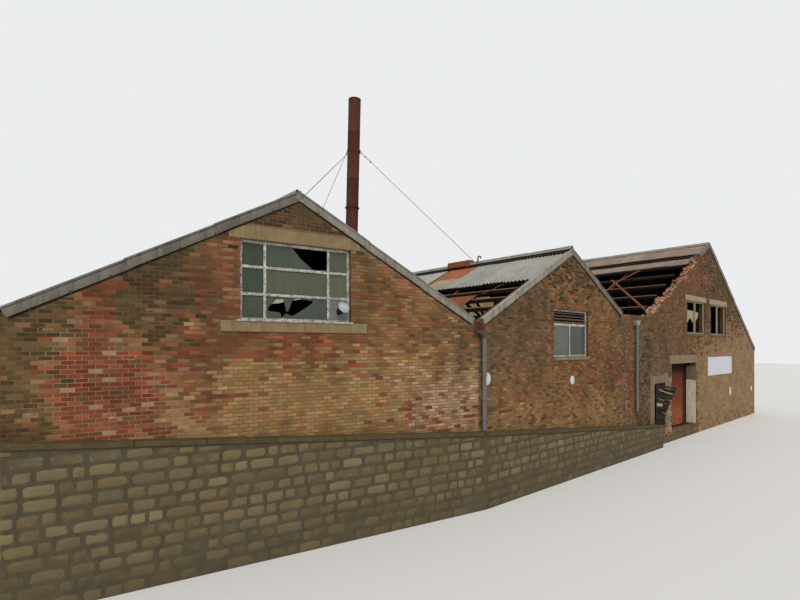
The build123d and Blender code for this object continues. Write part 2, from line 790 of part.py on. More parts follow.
# Steel plate with a round vent in the lowest near light
cowl_radius = 150
cowl_rim = 50
duct_radius = 100
duct_reach = 130
vent_centre = (sum(left_columns[0]) / 2, sum(left_rows[0]) / 2)
with BuildPart() as window_vent:
    with BuildSketch(left_face.offset(frame_inset + pane_inset)):
        rectangle(*left_columns[0], *left_rows[0])
    extrude(amount=pane_thickness)
    with BuildSketch(left_face.offset(frame_inset + pane_inset)):
        with Locations(vent_centre):
            Circle(duct_radius)
    extrude(amount=-duct_reach)
    with BuildSketch(left_face.offset(frame_inset + pane_inset - duct_reach)):
        with Locations(vent_centre):
            Circle(cowl_radius)
    extrude(amount=-cowl_rim, taper=20)
finish(window_vent, "window_vent")

# Middle window: two lights, with a rail and a louvre over them in the same opening
middle_rail = (5040, 5120)
middle_lights = [
    (middle_window_left + frame_bar, (middle_window_left + middle_window_right - mullion) / 2),
    ((middle_window_left + middle_window_right + mullion) / 2, middle_window_right - frame_bar),
]
light_row = (middle_window_sill + frame_bar, middle_rail[0])
louvre_row = (middle_rail[1], middle_window_head - frame_bar)
with BuildPart() as middle_window_frame:
    with BuildSketch(Plane.XZ.offset(-frame_inset)):
        rectangle(middle_window_left, middle_window_right, middle_window_sill, middle_window_head)
        for light in middle_lights:
            rectangle(*light, *light_row, mode=Mode.SUBTRACT)
        rectangle(middle_lights[0][0], middle_lights[1][1], *louvre_row, mode=Mode.SUBTRACT)
    extrude(amount=-frame_depth)
finish(middle_window_frame, "middle_window_frame")

louvre_slats = 4
slat_depth = 90
slat_thickness = 15
slat_tilt = 40
slat_pitch = (louvre_row[1] - louvre_row[0]) / louvre_slats
with BuildPart() as window_louvre:
    for i in range(louvre_slats):
        half_rise = slat_depth * sin(radians(slat_tilt)) / 2
        half_run = slat_depth * cos(radians(slat_tilt)) / 2
        level = louvre_row[0] + (i + 0.5) * slat_pitch
        middle_y = frame_inset + frame_depth / 2
        with BuildSketch(Plane.YZ.offset(middle_lights[0][0])) as slat:
            with BuildLine():
                Polyline(*bar((middle_y - half_run, level - half_rise), (middle_y + half_run, level + half_rise),
                              slat_thickness), close=True)
            make_face()
        extrude(amount=middle_lights[1][1] - middle_lights[0][0])
finish(window_louvre, "window_louvre")

# Right window frames have lost their glass. A scrap of board hangs in the first.
right_frame_inset = 60
with BuildPart() as right_window_frames:
    with BuildSketch(Plane.XZ.offset(-right_frame_inset)):
        for x in right_windows:
            centre = x + right_window_width / 2
            rectangle(x, x + right_window_width, right_window_sill, right_window_head)
            for left in (x + frame_bar, centre + frame_bar):
                rectangle(left, left + right_window_width / 2 - 2 * frame_bar, right_window_sill + frame_bar,
                          right_window_head - frame_bar, mode=Mode.SUBTRACT)
    extrude(amount=-frame_depth)
finish(right_window_frames, "right_window_frames")

scrap = [(15, 6180), (1350, 6120), (1480, 5720), (1120, 5560), (760, 5800), (420, 5530), (30, 5640)]
board_thickness = 15
board_face = right_frame_inset + frame_depth
with BuildPart() as hanging_board:
    along_y([(right_windows[0] + x, z) for x, z in scrap], board_face, board_face + board_thickness)
finish(hanging_board, "hanging_board")

# Rusted roller shutter behind the doorway, in channels fixed to the wall's inner face
guide_width = 70
guide_depth = 90
guide_wall = 8
curtain_gap = 12
curtain = 20
guide_head = doorway_head + door_lintel_height
lap = 15
with BuildPart() as shutter_guides:
    for edge, side in ((doorway_left, -1), (doorway_right, 1)):
        near = edge + side * lap
        far = edge + side * (lap + guide_width)
        back = right_front_wall + guide_depth
        upright([(near, right_front_wall), (far, right_front_wall), (far, back), (near, back),
                 (near, back - guide_wall), (far - side * guide_wall, back - guide_wall),
                 (far - side * guide_wall, right_front_wall + guide_wall), (near, right_front_wall + guide_wall)],
                floor_level, guide_head)
finish(shutter_guides, "shutter_guides")

with BuildPart() as roller_shutter:
    curtain_y = right_front_wall + guide_wall + curtain_gap
    block((doorway_left - lap - guide_width + guide_wall + curtain_gap,
           doorway_right + lap + guide_width - guide_wall - curtain_gap),
          (curtain_y, curtain_y + curtain), (floor_level, guide_head))
finish(roller_shutter, "roller_shutter")

# Rendered surround of the low hatch, standing on the ledge
surround_side = 420
surround_pier = 300
surround_top = 330
surround_left = hatch_left - surround_side
surround_right = hatch_right + surround_pier
surround_head = hatch_head + surround_top
surround_thickness = 20
with BuildPart() as hatch_surround:
    along_y([(surround_left, ledge_top(surround_left)), (surround_left, surround_head),
             (surround_right, surround_head), (surround_right, ledge_at_end), (hatch_right, ledge_at_end),
             (hatch_right, hatch_head), (hatch_left, hatch_head), (hatch_left, ledge_top(hatch_left))],
            -surround_thickness, 0)
finish(hatch_surround, "hatch_surround")

# The hatch's rotten leaf hangs out of its opening, with its lower corner broken away
leaf_swing = radians(24)
leaf_thickness = 40
leaf_width = 1180
leaf_break = [(0.82, 2050), (0.62, 1600), (0.55, hatch_sill)]
strap_length = 120
strap_height = 60
strap_thickness = 12
strap_levels = (1250, 2400)
leaf_plane = Plane(origin=(hatch_left, -surround_thickness - leaf_thickness, 0),
                   x_dir=(cos(leaf_swing), -sin(leaf_swing), 0), z_dir=(-sin(leaf_swing), -cos(leaf_swing), 0))
with BuildPart() as broken_leaf:
    with BuildSketch(leaf_plane):
        with BuildLine():
            Polyline((0, hatch_sill), (0, hatch_head - lap), (leaf_width, hatch_head - 5 * lap),
                     *[(leaf_width * share, z) for share, z in leaf_break], close=True)
        make_face()
    extrude(amount=leaf_thickness)
    for level in strap_levels:
        block((hatch_left - strap_length, hatch_left), (-surround_thickness - strap_thickness, -surround_thickness),
              (level, level + strap_height))
        block((hatch_left - 2 * strap_thickness, hatch_left + strap_thickness),
              (-surround_thickness - leaf_thickness - strap_thickness, -surround_thickness - 1),
              (level, level + strap_height))
finish(broken_leaf, "broken_leaf")

# Blank signboard on the right gable
sign_left = right_ridge_x - 290
sign_width = 4230
sign_foot = 2810
sign_height = 990
sign_thickness = 25
with BuildPart() as signboard:
    with BuildSketch(Plane.XZ):
        rectangle(sign_left, sign_left + sign_width, sign_foot, sign_foot + sign_height)
    extrude(amount=sign_thickness)
finish(signboard, "signboard")

# Downpipes of cast iron, each under a tapering head and held by collars
pipe_radius = 60
collar_radius = 80
collar_height = 60
head_height = 180
head_top = (400, 170)
head_foot = (150, 140)
pipe_off_wall = 95
pipes = [
    {"x": 150, "head": 0, "top": gutter_sole, "foot": 2060, "collars": (2350, 3550)},
    {"x": middle_span - 70, "head": middle_span - 70, "top": 5400, "foot": 1750, "collars": (3400, 4900)},
]
with BuildPart() as downpipes:
    for pipe in pipes:
        outlet = pipe["top"] - head_height
        with BuildSketch(Plane.XY.offset(pipe["foot"])):
            with Locations((pipe["x"], -pipe_off_wall)):
                Circle(pipe_radius)
        extrude(amount=outlet - pipe["foot"])
        for level in pipe["collars"]:
            with BuildSketch(Plane.XY.offset(level)):
                with Locations((pipe["x"], -pipe_off_wall)):
                    Circle(collar_radius)
                    Circle(pipe_radius, mode=Mode.SUBTRACT)
                rectangle(pipe["x"] - collar_radius, pipe["x"] + collar_radius, -pipe_off_wall / 2, 0)
                with Locations((pipe["x"], -pipe_off_wall)):
                    Circle(pipe_radius, mode=Mode.SUBTRACT)
            extrude(amount=collar_height)
        with BuildSketch(Plane.XY.offset(outlet)):
            with Locations((pipe["x"], -pipe_off_wall)):
                Rectangle(*head_foot)
        with BuildSketch(Plane.XY.offset(pipe["top"])):
            with Locations((pipe["head"], -head_top[1] / 2)):
                Rectangle(*head_top)
        loft()
finish(downpipes, "downpipes")

# On the middle ridge, a hood of steel sheet with closed ends, and a swan-neck pipe
hood_wall = 10
hood_rise = 140
hood_shoulder = 80
hood_from = 4470
hood_to = 5510
cap_top = -cap_lift - cap_thickness
saddle_z = roof_z("middle_west", middle_span / 2, cap_top)


def hood_outline(inset):
    """The hood's section: upright sides under an arch, closed below along the ridge cap."""
    half = cap_wing - inset
    foot = roof_z("middle_west", middle_span / 2 - half, cap_top)
    left, right = middle_span / 2 - half, middle_span / 2 + half
    with BuildLine() as outline:
        Line((left, foot), (left, saddle_z + hood_shoulder))
        ThreePointArc((left, saddle_z + hood_shoulder), (middle_span / 2, saddle_z + hood_rise - inset),
                      (right, saddle_z + hood_shoulder))
        Polyline((right, saddle_z + hood_shoulder), (right, foot), (middle_span / 2, saddle_z), (left, foot))
    return outline.edges()


neck_radius = 35
neck_y = 4090
neck_height = 150
neck_bend = 80
with BuildPart() as ridge_vents:
    with BuildSketch(Plane.XZ.offset(-hood_from)):
        make_face(hood_outline(0))
    extrude(amount=-(hood_to - hood_from))
    with BuildSketch(Plane.XZ.offset(-hood_from - hood_wall)):
        make_face(hood_outline(hood_wall))
    extrude(amount=-(hood_to - hood_from - 2 * hood_wall), mode=Mode.SUBTRACT)
    with BuildLine() as neck_path:
        neck_rise = Line((middle_span / 2, neck_y, saddle_z - neck_radius),
                         (middle_span / 2, neck_y, saddle_z + neck_height))
        ThreePointArc(neck_rise @ 1, (middle_span / 2, neck_y - neck_bend, saddle_z + neck_height + neck_bend),
                      (middle_span / 2, neck_y - 2 * neck_bend, saddle_z + neck_height))
    with BuildSketch(Plane(origin=neck_rise @ 0)):
        Circle(neck_radius)
    sweep(path=neck_path.line)
    along_y(chevron("middle_west", "middle_east", middle_span / 2 - cap_wing / 2, middle_span / 2 + cap_wing / 2,
                    cap_top, 0), neck_y - 2 * neck_radius, neck_y + 2 * neck_radius, Mode.SUBTRACT)
finish(ridge_vents, "ridge_vents")

# Steel stack from the boiler floor through the open roof, out of plumb
stack_radius = 250
stack_wall = 10
stack_top = 14450
stack_at_roof = (1380, 7820)
stack_roof_height = 5500
stack_lean = 1.3
lean_heading = 318.3
flange_height = 9990
flange_radius = 290
flange_thickness = 50
band_height = 12240
band_radius = 275
band_width = 160
plate_size = 800
plate_thickness = 25
heading = radians(lean_heading)
lean = Vector(cos(heading), sin(heading), 0) * sin(radians(stack_lean)) + Vector(0, 0, cos(radians(stack_lean)))


def on_stack(height):
    """A point on the stack's centre line at a height."""
    run = (height - stack_roof_height) * tan(radians(stack_lean))
    return Vector(stack_at_roof[0] + run * cos(heading), stack_at_roof[1] + run * sin(heading), height)


with BuildPart() as steel_stack:
    foot = on_stack(floor_level + plate_thickness)
    with BuildSketch(Plane(origin=foot, z_dir=lean)):
        Circle(stack_radius)
        Circle(stack_radius - stack_wall, mode=Mode.SUBTRACT)
    extrude(amount=(stack_top - floor_level - plate_thickness) / cos(radians(stack_lean)))
    for height, radius, thickness in ((flange_height, flange_radius, flange_thickness),
                                      (band_height, band_radius, band_width)):
        with BuildSketch(Plane(origin=on_stack(height), z_dir=lean)):
            Circle(radius)
            Circle(stack_radius - stack_wall / 2, mode=Mode.SUBTRACT)
        extrude(amount=thickness)
    with BuildSketch(Plane.XY.offset(floor_level)):
        with Locations((foot.X, foot.Y)):
            Rectangle(plate_size, plate_size)
    extrude(amount=plate_thickness * 2)
finish(steel_stack, "steel_stack")

# Three taut guys run from the band down to eye plates on the roofs
guy_radius = 10
eye_plate = 140
eye_thickness = 30
guy_feet = [
    (middle_span / 2 + 170, 4240, cap_top, "middle_east"),
    (-4650, 2000, -cap_thickness, "left_east"),
    (-830, 10000, 0, "left_east"),
]
band_middle = on_stack(band_height + band_width / 2)
with BuildPart() as stack_guys:
    for x, y, depth, slope in guy_feet:
        anchor = Vector(x, y, roof_z(slope, x, depth - eye_thickness / 2))
        away = Vector(anchor.X - band_middle.X, anchor.Y - band_middle.Y, 0).normalized()
        start = band_middle + away * (band_radius - 3 * guy_radius)
        with BuildSketch(Plane(origin=start, z_dir=anchor - start)):
            Circle(guy_radius)
        extrude(amount=(anchor - start).length)
        along_y(layer(slope, x - eye_plate / 2, x + eye_plate / 2, depth - eye_thickness, depth),
                y - eye_plate / 2, y + eye_plate / 2)
    with BuildSketch(Plane(origin=on_stack(band_height - band_width), z_dir=lean)):
        Circle(band_radius)
    extrude(amount=3 * band_width, mode=Mode.SUBTRACT)
finish(stack_guys, "stack_guys")

# Plain windows in the back gables repeat the front's
back_light = (back_window_width - 2 * frame_bar - 2 * mullion) / 3
back_row = (back_window_sill + frame_bar, back_window_sill + back_window_height - frame_bar)
back_lights = []
for x in back_centres:
    for i in range(3):
        light_left = x - back_window_width / 2 + frame_bar + i * (back_light + mullion)
        back_lights.append((light_left, light_left + back_light))
back_frame_y = hall_depth - frame_inset - frame_depth
with BuildPart() as back_window_frames:
    with BuildSketch(Plane.XZ.offset(-back_frame_y)):
        for x in back_centres:
            rectangle(x - back_window_width / 2, x + back_window_width / 2,
                      back_window_sill, back_window_sill + back_window_height)
        for light in back_lights:
            rectangle(*light, *back_row, mode=Mode.SUBTRACT)
    extrude(amount=-frame_depth)
finish(back_window_frames, "back_window_frames")

# Glass of all the windows that have kept theirs
with BuildPart() as window_glass:
    add(left_panes.part)
    with BuildSketch(Plane.XZ.offset(-frame_inset - pane_inset)):
        for light in middle_lights:
            rectangle(*light, *light_row)
    extrude(amount=-pane_thickness)
    with BuildSketch(Plane.XZ.offset(-back_frame_y - pane_inset)):
        for light in back_lights:
            rectangle(*light, *back_row)
    extrude(amount=-pane_thickness)
finish(window_glass, "window_glass")

for piece in pieces:
    print(piece.label, len(piece.solids()), round(piece.volume / 1e9, 4), piece.is_valid)
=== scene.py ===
from math import atan2, cos, radians, sin, tan

import bpy
import numpy as np
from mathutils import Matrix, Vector
from mathutils.geometry import tessellate_polygon


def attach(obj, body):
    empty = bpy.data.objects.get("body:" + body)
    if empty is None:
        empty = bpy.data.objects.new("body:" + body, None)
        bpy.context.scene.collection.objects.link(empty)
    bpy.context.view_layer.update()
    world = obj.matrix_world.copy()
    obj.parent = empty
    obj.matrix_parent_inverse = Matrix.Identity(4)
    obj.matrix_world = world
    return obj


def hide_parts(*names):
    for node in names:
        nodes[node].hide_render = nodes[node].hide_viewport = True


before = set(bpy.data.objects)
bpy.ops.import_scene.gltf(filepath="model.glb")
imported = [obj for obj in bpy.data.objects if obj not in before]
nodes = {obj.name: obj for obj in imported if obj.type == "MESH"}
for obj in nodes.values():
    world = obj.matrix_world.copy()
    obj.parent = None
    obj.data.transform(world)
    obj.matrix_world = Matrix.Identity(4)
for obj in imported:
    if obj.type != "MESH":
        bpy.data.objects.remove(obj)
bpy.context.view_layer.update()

# The factory is seen from its left front, with a level camera whose view is raised a little so
# that the stack fits in. The light is that of a bright overcast day.
camera = bpy.data.objects.new("front_camera", bpy.data.cameras.new("front_camera"))
bpy.context.scene.collection.objects.link(camera)
camera.location = (-10.42, -8.515, 4.33)
camera.rotation_euler = (radians(90), 0, -atan2(0.6652, 0.7466))
camera.data.lens = 22.05
camera.data.sensor_width = 36
camera.data.shift_y = 0.0588
camera.data.clip_end = 400
bpy.context.scene.camera = camera
bpy.context.scene.view_settings.view_transform = "Standard"

for name, strength, spread, turn in (
    ("high_cloud_light", 1.48, 40, (42, 0, -24)),
    ("low_cloud_light", 0.6, 60, (66, 0, -68)),
):
    lamp = bpy.data.objects.new(name, bpy.data.lights.new(name, "SUN"))
    lamp.data.energy = strength
    lamp.data.angle = radians(spread)
    lamp.rotation_euler = [radians(angle) for angle in turn]
    bpy.context.scene.collection.objects.link(lamp)


# A plain pale floor and a white surround stand in for a studio. The floor keeps the building's
# shadow, and the glass and the metal show the white too.
class Socket:
    """A shader value. Sums and products of sockets add their Math nodes, and node() adds any other."""

    def __init__(self, tree, out=None):
        self.tree, self.out = tree, out

    def node(self, kind, sockets=(), output=0, **settings):
        """Adds a node: its settings first, then values or links for its sockets."""
        made = self.tree.nodes.new("ShaderNode" + kind)
        for key, value in settings.items():
            setattr(made, key, value)
        for key, value in dict(sockets).items():
            if isinstance(value, Socket):
                self.tree.links.new(value.out, made.inputs[key])
            else:
                made.inputs[key].default_value = value
        return Socket(self.tree, made.outputs[output])

    def maths(self, operation, *others):
        """This value and others, joined by a Math node's operation."""
        return self.node("Math", dict(enumerate((self,) + others)), operation=operation)

    def __add__(self, other):
        return self.maths("ADD", other)

    def __mul__(self, other):
        return self.maths("MULTIPLY", other)

    def __sub__(self, other):
        return self.maths("SUBTRACT", other)

    def __rsub__(self, other):
        return self.maths("MULTIPLY", -1.0).maths("ADD", other)

    __radd__, __rmul__ = __add__, __mul__

    def above(self, edge, softness=0.1):
        """0 under the edge and 1 over it, with a soft step between."""
        return self.node("MapRange", {0: self, 1: edge - softness, 2: edge + softness},
                         interpolation_type="SMOOTHSTEP")

    def axis(self, index):
        """One of the three numbers of this vector."""
        return self.node("SeparateXYZ", {0: self}, index)

    def scaled(self, x, y, z):
        """This vector times a number of its own along each axis."""
        return self.node("VectorMath", {0: self, 1: (x, y, z)}, operation="MULTIPLY")

    def noise(self, scale, detail=4.0, roughness=0.6):
        """Cloudy value between 0 and 1 at a number of blotches to the metre."""
        return self.node("TexNoise", {"Vector": self, "Scale": scale, "Detail": detail, "Roughness": roughness})

    def mix(self, low, high):
        """The low colour where this value is 0 and the high one where it is 1."""
        return self.node("Mix", {0: self, 6: low, 7: high}, 2, data_type="RGBA", clamp_factor=True)

    def tint(self, colour):
        """This colour times another."""
        return self.node("Mix", {0: 1.0, 6: self, 7: colour}, 2, data_type="RGBA", blend_type="MULTIPLY")

    def own_colour(self):
        """The colour that each part of a piece has of its own."""
        return self.node("Attribute", output=0, attribute_name="tint")

    def bump(self, depth, strength=1.0):
        """The normal of a surface that this height, in parts of a depth in metres, stands out of."""
        return self.node("Bump", {"Height": self, "Distance": depth, "Strength": strength})


def tone(red, green, blue):
    """A screen colour from 0 to 255 as the linear colour that nodes take."""
    return tuple((channel / 255 / 12.92 if channel < 11 else ((channel / 255 + 0.055) / 1.055) ** 2.4)
                 for channel in (red, green, blue)) + (1.0,)


def finish_of(name):
    """A new material, with its object coordinates and its shader."""
    made = bpy.data.materials.new(name)
    made.use_nodes = True
    tree = made.node_tree
    place = Socket(tree).node("TexCoord", output=3)
    return made, place, tree.nodes["Principled BSDF"]


def coat(shader, colour, roughness, normal=None, metallic=0.0, gloss=0.12):
    """Joins colour, roughness and normal to a shader, and sets how strongly it reflects."""
    tree = shader.id_data
    shader.inputs["Specular IOR Level"].default_value = gloss
    for key, value in (("Base Color", colour), ("Roughness", roughness), ("Normal", normal), ("Metallic", metallic)):
        if isinstance(value, Socket):
            tree.links.new(value.out, shader.inputs[key])
        elif value is not None:
            shader.inputs[key].default_value = value


floor = bpy.data.objects.new("floor", bpy.data.meshes.new("floor"))
reach = 150
floor.data.from_pydata([(-reach, -reach, 0), (reach, -reach, 0), (reach, reach, 0), (-reach, reach, 0)], [],
                       [(0, 1, 2, 3)])
bpy.context.scene.collection.objects.link(floor)
pale_floor, place, shader = finish_of("pale_floor")
coat(shader, tone(214, 213, 210), 0.9)
floor.data.materials.append(pale_floor)
world = bpy.data.worlds.new("overcast")
bpy.context.scene.world = world
world.use_nodes = True
rays = world.node_tree.nodes.new("ShaderNodeLightPath")
seen = Socket(world.node_tree, rays.outputs["Is Camera Ray"])
for kind in ("Is Glossy Ray", "Is Transmission Ray"):
    seen = seen.maths("MAXIMUM", Socket(world.node_tree, rays.outputs[kind]))
backdrop = world.node_tree.nodes["Background"]
skylight, white_surround = (0.66, 0.65, 0.64, 1), (0.83, 0.845, 0.86, 1)
world.node_tree.links.new(seen.mix(skylight, white_surround).out, backdrop.inputs["Color"])
backdrop.inputs["Strength"].default_value = 1.0

# The walls are brickwork in running bond, and the left front is skewed to the others. The solid
# walls give the mortar of the fronts, pale where the left front is still red and clean, and all
# of the hidden sides.
course, brick_length, joint_width = 0.079, 0.205, 0.011
skew = radians(9.8)
back_face = 16.0


def wall_place(place):
    """Distance along a wall and height, for a wall that faces any way, and along its top."""
    facing = place.node("NewGeometry", output=1)
    to_side = facing.axis(0).maths("ABSOLUTE").above(0.7, 0.02)
    to_top = facing.axis(2).maths("ABSOLUTE").above(0.7, 0.02)
    along = to_side * (place.axis(1) - place.axis(0)) + place.axis(0)
    height = to_top * (place.axis(1) - place.axis(2)) + place.axis(2)
    return place.node("CombineXYZ", {0: along, 1: height}), facing


def stains(place, colour):
    """Ochre smears, salts, and soot that has spared the right end, which cross bricks and joints alike."""
    ochre = place.noise(0.8, 7, 0.66).above(0.56, 0.1)
    sheltered = (place.axis(0) - 18.0).above(0.0, 1.5) * (6.0 - place.axis(2)).above(0.0, 1.0)
    soot = place.scaled(1, 1, 0.45).noise(1.1, 7, 0.64).above(0.55, 0.13) * (1.0 - sheltered * 0.75)
    colour = (ochre * 0.34).mix(colour, tone(122, 100, 62))
    colour = (soot * 0.42).mix(colour, tone(54, 45, 32))
    return (place.noise(5.5, 5, 0.75).above(0.69, 0.05) * 0.35).mix(colour, tone(158, 142, 116))


def brickwork(name, clay, dark_clay, mortar, front_mortar=False):
    """Laid bricks of two colours with mortar between, stained, and darkened on the inside with soot and painted
    shade.
    """
    made, place, shader = finish_of(name)
    laid, facing = wall_place(place)
    bricks = {"Vector": laid, "Color1": clay, "Color2": dark_clay, "Mortar": mortar, "Scale": 1.0,
              "Mortar Size": 0.006, "Mortar Smooth": 0.3, "Brick Width": brick_length, "Row Height": course}
    colour = place.node("TexBrick", bricks, offset=0.5, squash=1.0)
    joint = place.node("TexBrick", bricks, 1, offset=0.5, squash=1.0)
    if front_mortar:
        to_front = (facing.axis(1) * -1.0).above(0.9, 0.02)
        ragged = place.noise(1.4, 5, 0.7) * 1.6 - 0.8
        clean = (1.35 - (place.axis(0) + 8.1).maths("ABSOLUTE") + ragged).above(0.0, 0.3)
        clean = clean * (5.0 - place.axis(2) - (place.axis(0) + 8.8).maths("ABSOLUTE") + ragged).above(0.0, 0.5)
        pinkish = (clean * 0.9).mix(mortar, tone(168, 136, 112))
        colour = to_front.mix(colour, pinkish)
    grain = place.noise(60, 3, 0.7)
    colour = stains(place, colour).tint(grain * 0.5 + 0.74)
    # Faces inside the building are painted near black: soot, and painted shade for the dark interior seen through the
    # openings.
    behind = (place.axis(0).maths("MINIMUM", 0.0) * tan(skew) + place.axis(1)).above(0.27, 0.03)
    painted_indoor_shade = behind * (back_face - place.axis(1)).above(0.02, 0.01) * (28.18 - place.axis(0)).above(0.02, 0.01)
    colour = (painted_indoor_shade * (place.axis(0) + 9.95).above(0.02, 0.01) * 0.93).mix(colour, tone(24, 20, 16))
    relief = (1.0 - joint) * 0.8 + grain * 0.2
    coat(shader, colour, 0.92, relief.bump(0.008, 0.8), gloss=0.06)
    return made


def recoat(names, material):
    """Gives solids another finish in place of their own."""
    for name in names:
        nodes[name].data.materials.clear()
        nodes[name].data.materials.append(material)


red_walls = brickwork("old_red_brickwork", tone(116, 76, 52), tone(84, 60, 42), tone(116, 98, 72), True)
plain_walls = brickwork("plain_brickwork", tone(118, 80, 57), tone(94, 68, 50), tone(122, 104, 80))
recoat(("left_gable_wall", "middle_gable_wall", "right_gable_wall"), red_walls)
recoat(("left_side_wall", "right_side_wall", "back_wall"), plain_walls)

# The face bricks of the three fronts, each with its own colour and set a little proud or shy.
# They are fired clay, worn at their edges, and cut to the openings and to the slope of the roof.
def hang(name, parts, material, replaced=(), tints=None, crease=35):
    """Makes one piece of points and faces, each face a row of point numbers, and fixes it to the building.

    Edges that turn by more than the crease stay sharp.
    """
    points, faces, start = [], [], 0
    for part_points, *part_faces in parts:
        points.append(np.asarray(part_points, float).reshape(-1, 3))
        faces += [np.asarray(rows, int) + start for rows in part_faces]
        start += len(points[-1])
    corners = np.concatenate([rows.ravel() for rows in faces])
    counts = np.concatenate([np.full(len(rows), rows.shape[1]) for rows in faces])
    mesh = bpy.data.meshes.new(name)
    mesh.vertices.add(start)
    mesh.vertices.foreach_set("co", np.concatenate(points).ravel())
    mesh.loops.add(len(corners))
    mesh.loops.foreach_set("vertex_index", corners)
    mesh.polygons.add(len(counts))
    mesh.polygons.foreach_set("loop_start", np.concatenate([[0], np.cumsum(counts)[:-1]]))
    if tints is not None:
        tint = mesh.attributes.new("tint", "FLOAT_COLOR", "POINT")
        tint.data.foreach_set("color", tints.astype(np.float32).ravel())
    mesh.update(calc_edges=True)
    mesh.set_sharp_from_angle(angle=radians(crease))
    mesh.materials.append(material)
    made = bpy.data.objects.new(name, mesh)
    bpy.context.scene.collection.objects.link(made)
    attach(made, "root")
    if replaced:
        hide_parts(*replaced)
    return made


x_way, y_way, z_way = np.eye(3)
left_front = (np.zeros(3), np.array([-cos(skew), sin(skew), 0]), np.array([-sin(skew), -cos(skew), 0]))
long_front = (np.zeros(3), x_way, np.array([0, -1.0, 0]))
lay = np.random.default_rng(5844)


def mirrored(face):
    """Whether a front's length runs to the left, seen from outside, so that its faces turn over."""
    return np.cross(face[1], z_way) @ face[2] < 0


def lay_bricks(x_from, x_to, z_to, top, foot, holes):
    """Bricks of one wall as rows of left, right, foot left, foot right, top left and top right.

    Courses are stacked by their height, and every second one is moved on by half a brick. A brick is
    clamped between the foot and top lines, which are functions of its ends, and each hole cuts back
    the side of the brick that reaches into it.
    """
    rows = np.arange(int(z_to / course) + 1)
    step = np.arange(int((x_to - x_from) / brick_length) + 3)[None, :] - 1
    left = x_from + (step + (rows % 2)[:, None] / 2) * brick_length
    right = left + brick_length - joint_width
    low = np.broadcast_to(rows[:, None] * course, left.shape)
    left, right, low = (a.ravel() for a in np.broadcast_arrays(left, right, low))
    keep = (right > x_from + 0.03) & (left < x_to - 0.03)
    left, right, low = left[keep], right[keep], low[keep]
    left, right = np.maximum(left, x_from), np.minimum(right, x_to)
    high = low + course - joint_width
    for x0, x1, z0, z1 in holes:
        over_z = np.minimum(high, z1) - np.maximum(low, z0)
        over_x = np.minimum(right, x1) - np.maximum(left, x0)
        hit = (over_z > 0.001) & (over_x > 0.001)
        by_end = hit & (over_z > 0.03)
        from_left = by_end & (left < x0) & (right <= x1 + 0.2)
        from_right = by_end & ~from_left & (right > x1)
        inside = by_end & ~from_left & ~from_right
        right = np.where(from_left, x0 - 0.002, right)
        left = np.where(from_right, x1 + 0.002, left)
        high = np.where(inside, low, high)
        by_bed = hit & ~by_end
        high = np.where(by_bed & (low < z0), z0 - 0.002, high)
        low = np.where(by_bed & (low >= z0), z1 + 0.002, low)
    low_left, low_right = np.maximum(low, foot(left)), np.maximum(low, foot(right))
    high_left, high_right = np.minimum(high, top(left)), np.minimum(high, top(right))
    keep = (right - left > 0.02) & (np.maximum(high_left - low_left, high_right - low_right) > 0.012)
    high_left, high_right = np.maximum(high_left, low_left), np.maximum(high_right, low_right)
    return np.stack([left, right, low_left, low_right, high_left, high_right], -1)[keep]


def brick_parts(bricks, face):
    """Points and faces of bricks: a back edge in the mortar and a smaller face that stands out of it.

    Each corner of the face is drawn in by its own wear, and tilts a little in or out.
    """
    count = len(bricks)
    worn = lay.uniform(0.002, 0.0055, (count, 4))
    proud = lay.uniform(0.004, 0.009, (count, 1)) - 0.006 * (lay.random((count, 1)) < 0.06)
    tilt = lay.uniform(-0.0012, 0.0012, (count, 4))
    left, right, low_left, low_right, high_left, high_right = bricks.T
    u = np.stack([left, right, right, left], -1)
    v = np.stack([low_left, low_right, high_right, high_left], -1)
    u_face = u + worn * np.array([1, -1, -1, 1])
    v_face = np.maximum(v + worn * np.array([1, 1, -1, -1]), np.minimum(v, v[:, [3, 2, 1, 0]]))
    back = np.stack([u, v, np.full_like(u, -0.002)], -1)
    worn_face = np.stack([u_face, v_face, proud + tilt], -1)
    flat = np.concatenate([back, worn_face], 1).reshape(-1, 3)
    points = face[0] + flat[:, :1] * face[1] + flat[:, 1:2] * z_way + flat[:, 2:] * face[2]
    pattern = np.array([[4, 5, 6, 7], [0, 1, 5, 4], [1, 2, 6, 5], [2, 3, 7, 6], [3, 0, 4, 7]])
    if mirrored(face):
        pattern = pattern[:, ::-1]
    faces = (np.arange(count)[:, None, None] * 8 + pattern[None]).reshape(-1, 4)
    return points, faces


def waves(u, v, seed, size):
    """Smooth blotches between 0 and 1 over a wall: a sum of turned sine waves of falling size."""
    spin = np.random.default_rng(seed)
    total, weight = 0.0, 0.0
    for octave in range(5):
        angle, phase = spin.uniform(0, 6.28, 2)
        step = 1.9 ** octave / size
        total = total + np.sin((u * cos(angle) + v * sin(angle)) * step * 6.28 + phase
                               + 2 * np.sin((v * cos(angle) - u * sin(angle)) * step * 4 + phase)) / 1.5 ** octave
        weight += 1 / 1.5 ** octave
    return 0.5 + total / weight * 0.7


def patch(u, v, left, right, low, high, soft, seed):
    """1 inside a ragged rectangle of wall and 0 outside it, with edges blurred over a soft width."""
    stray = (waves(u, v, seed, 1.1) - 0.5) * soft * 2
    near = np.minimum(np.minimum(u - left, right - u), np.minimum(v - low, high - v)) + stray
    return np.clip(near / soft + 0.5, 0, 1)


def linear(palette):
    """The screen colours of a palette as rows of linear ones."""
    return np.array([tone(*shade)[:3] for shade in palette])


def point_tints(colours, points):
    """One colour for each like part, opaque and repeated over its number of points."""
    return np.repeat(np.concatenate([colours, np.ones((len(colours), 1))], 1), points, 0)


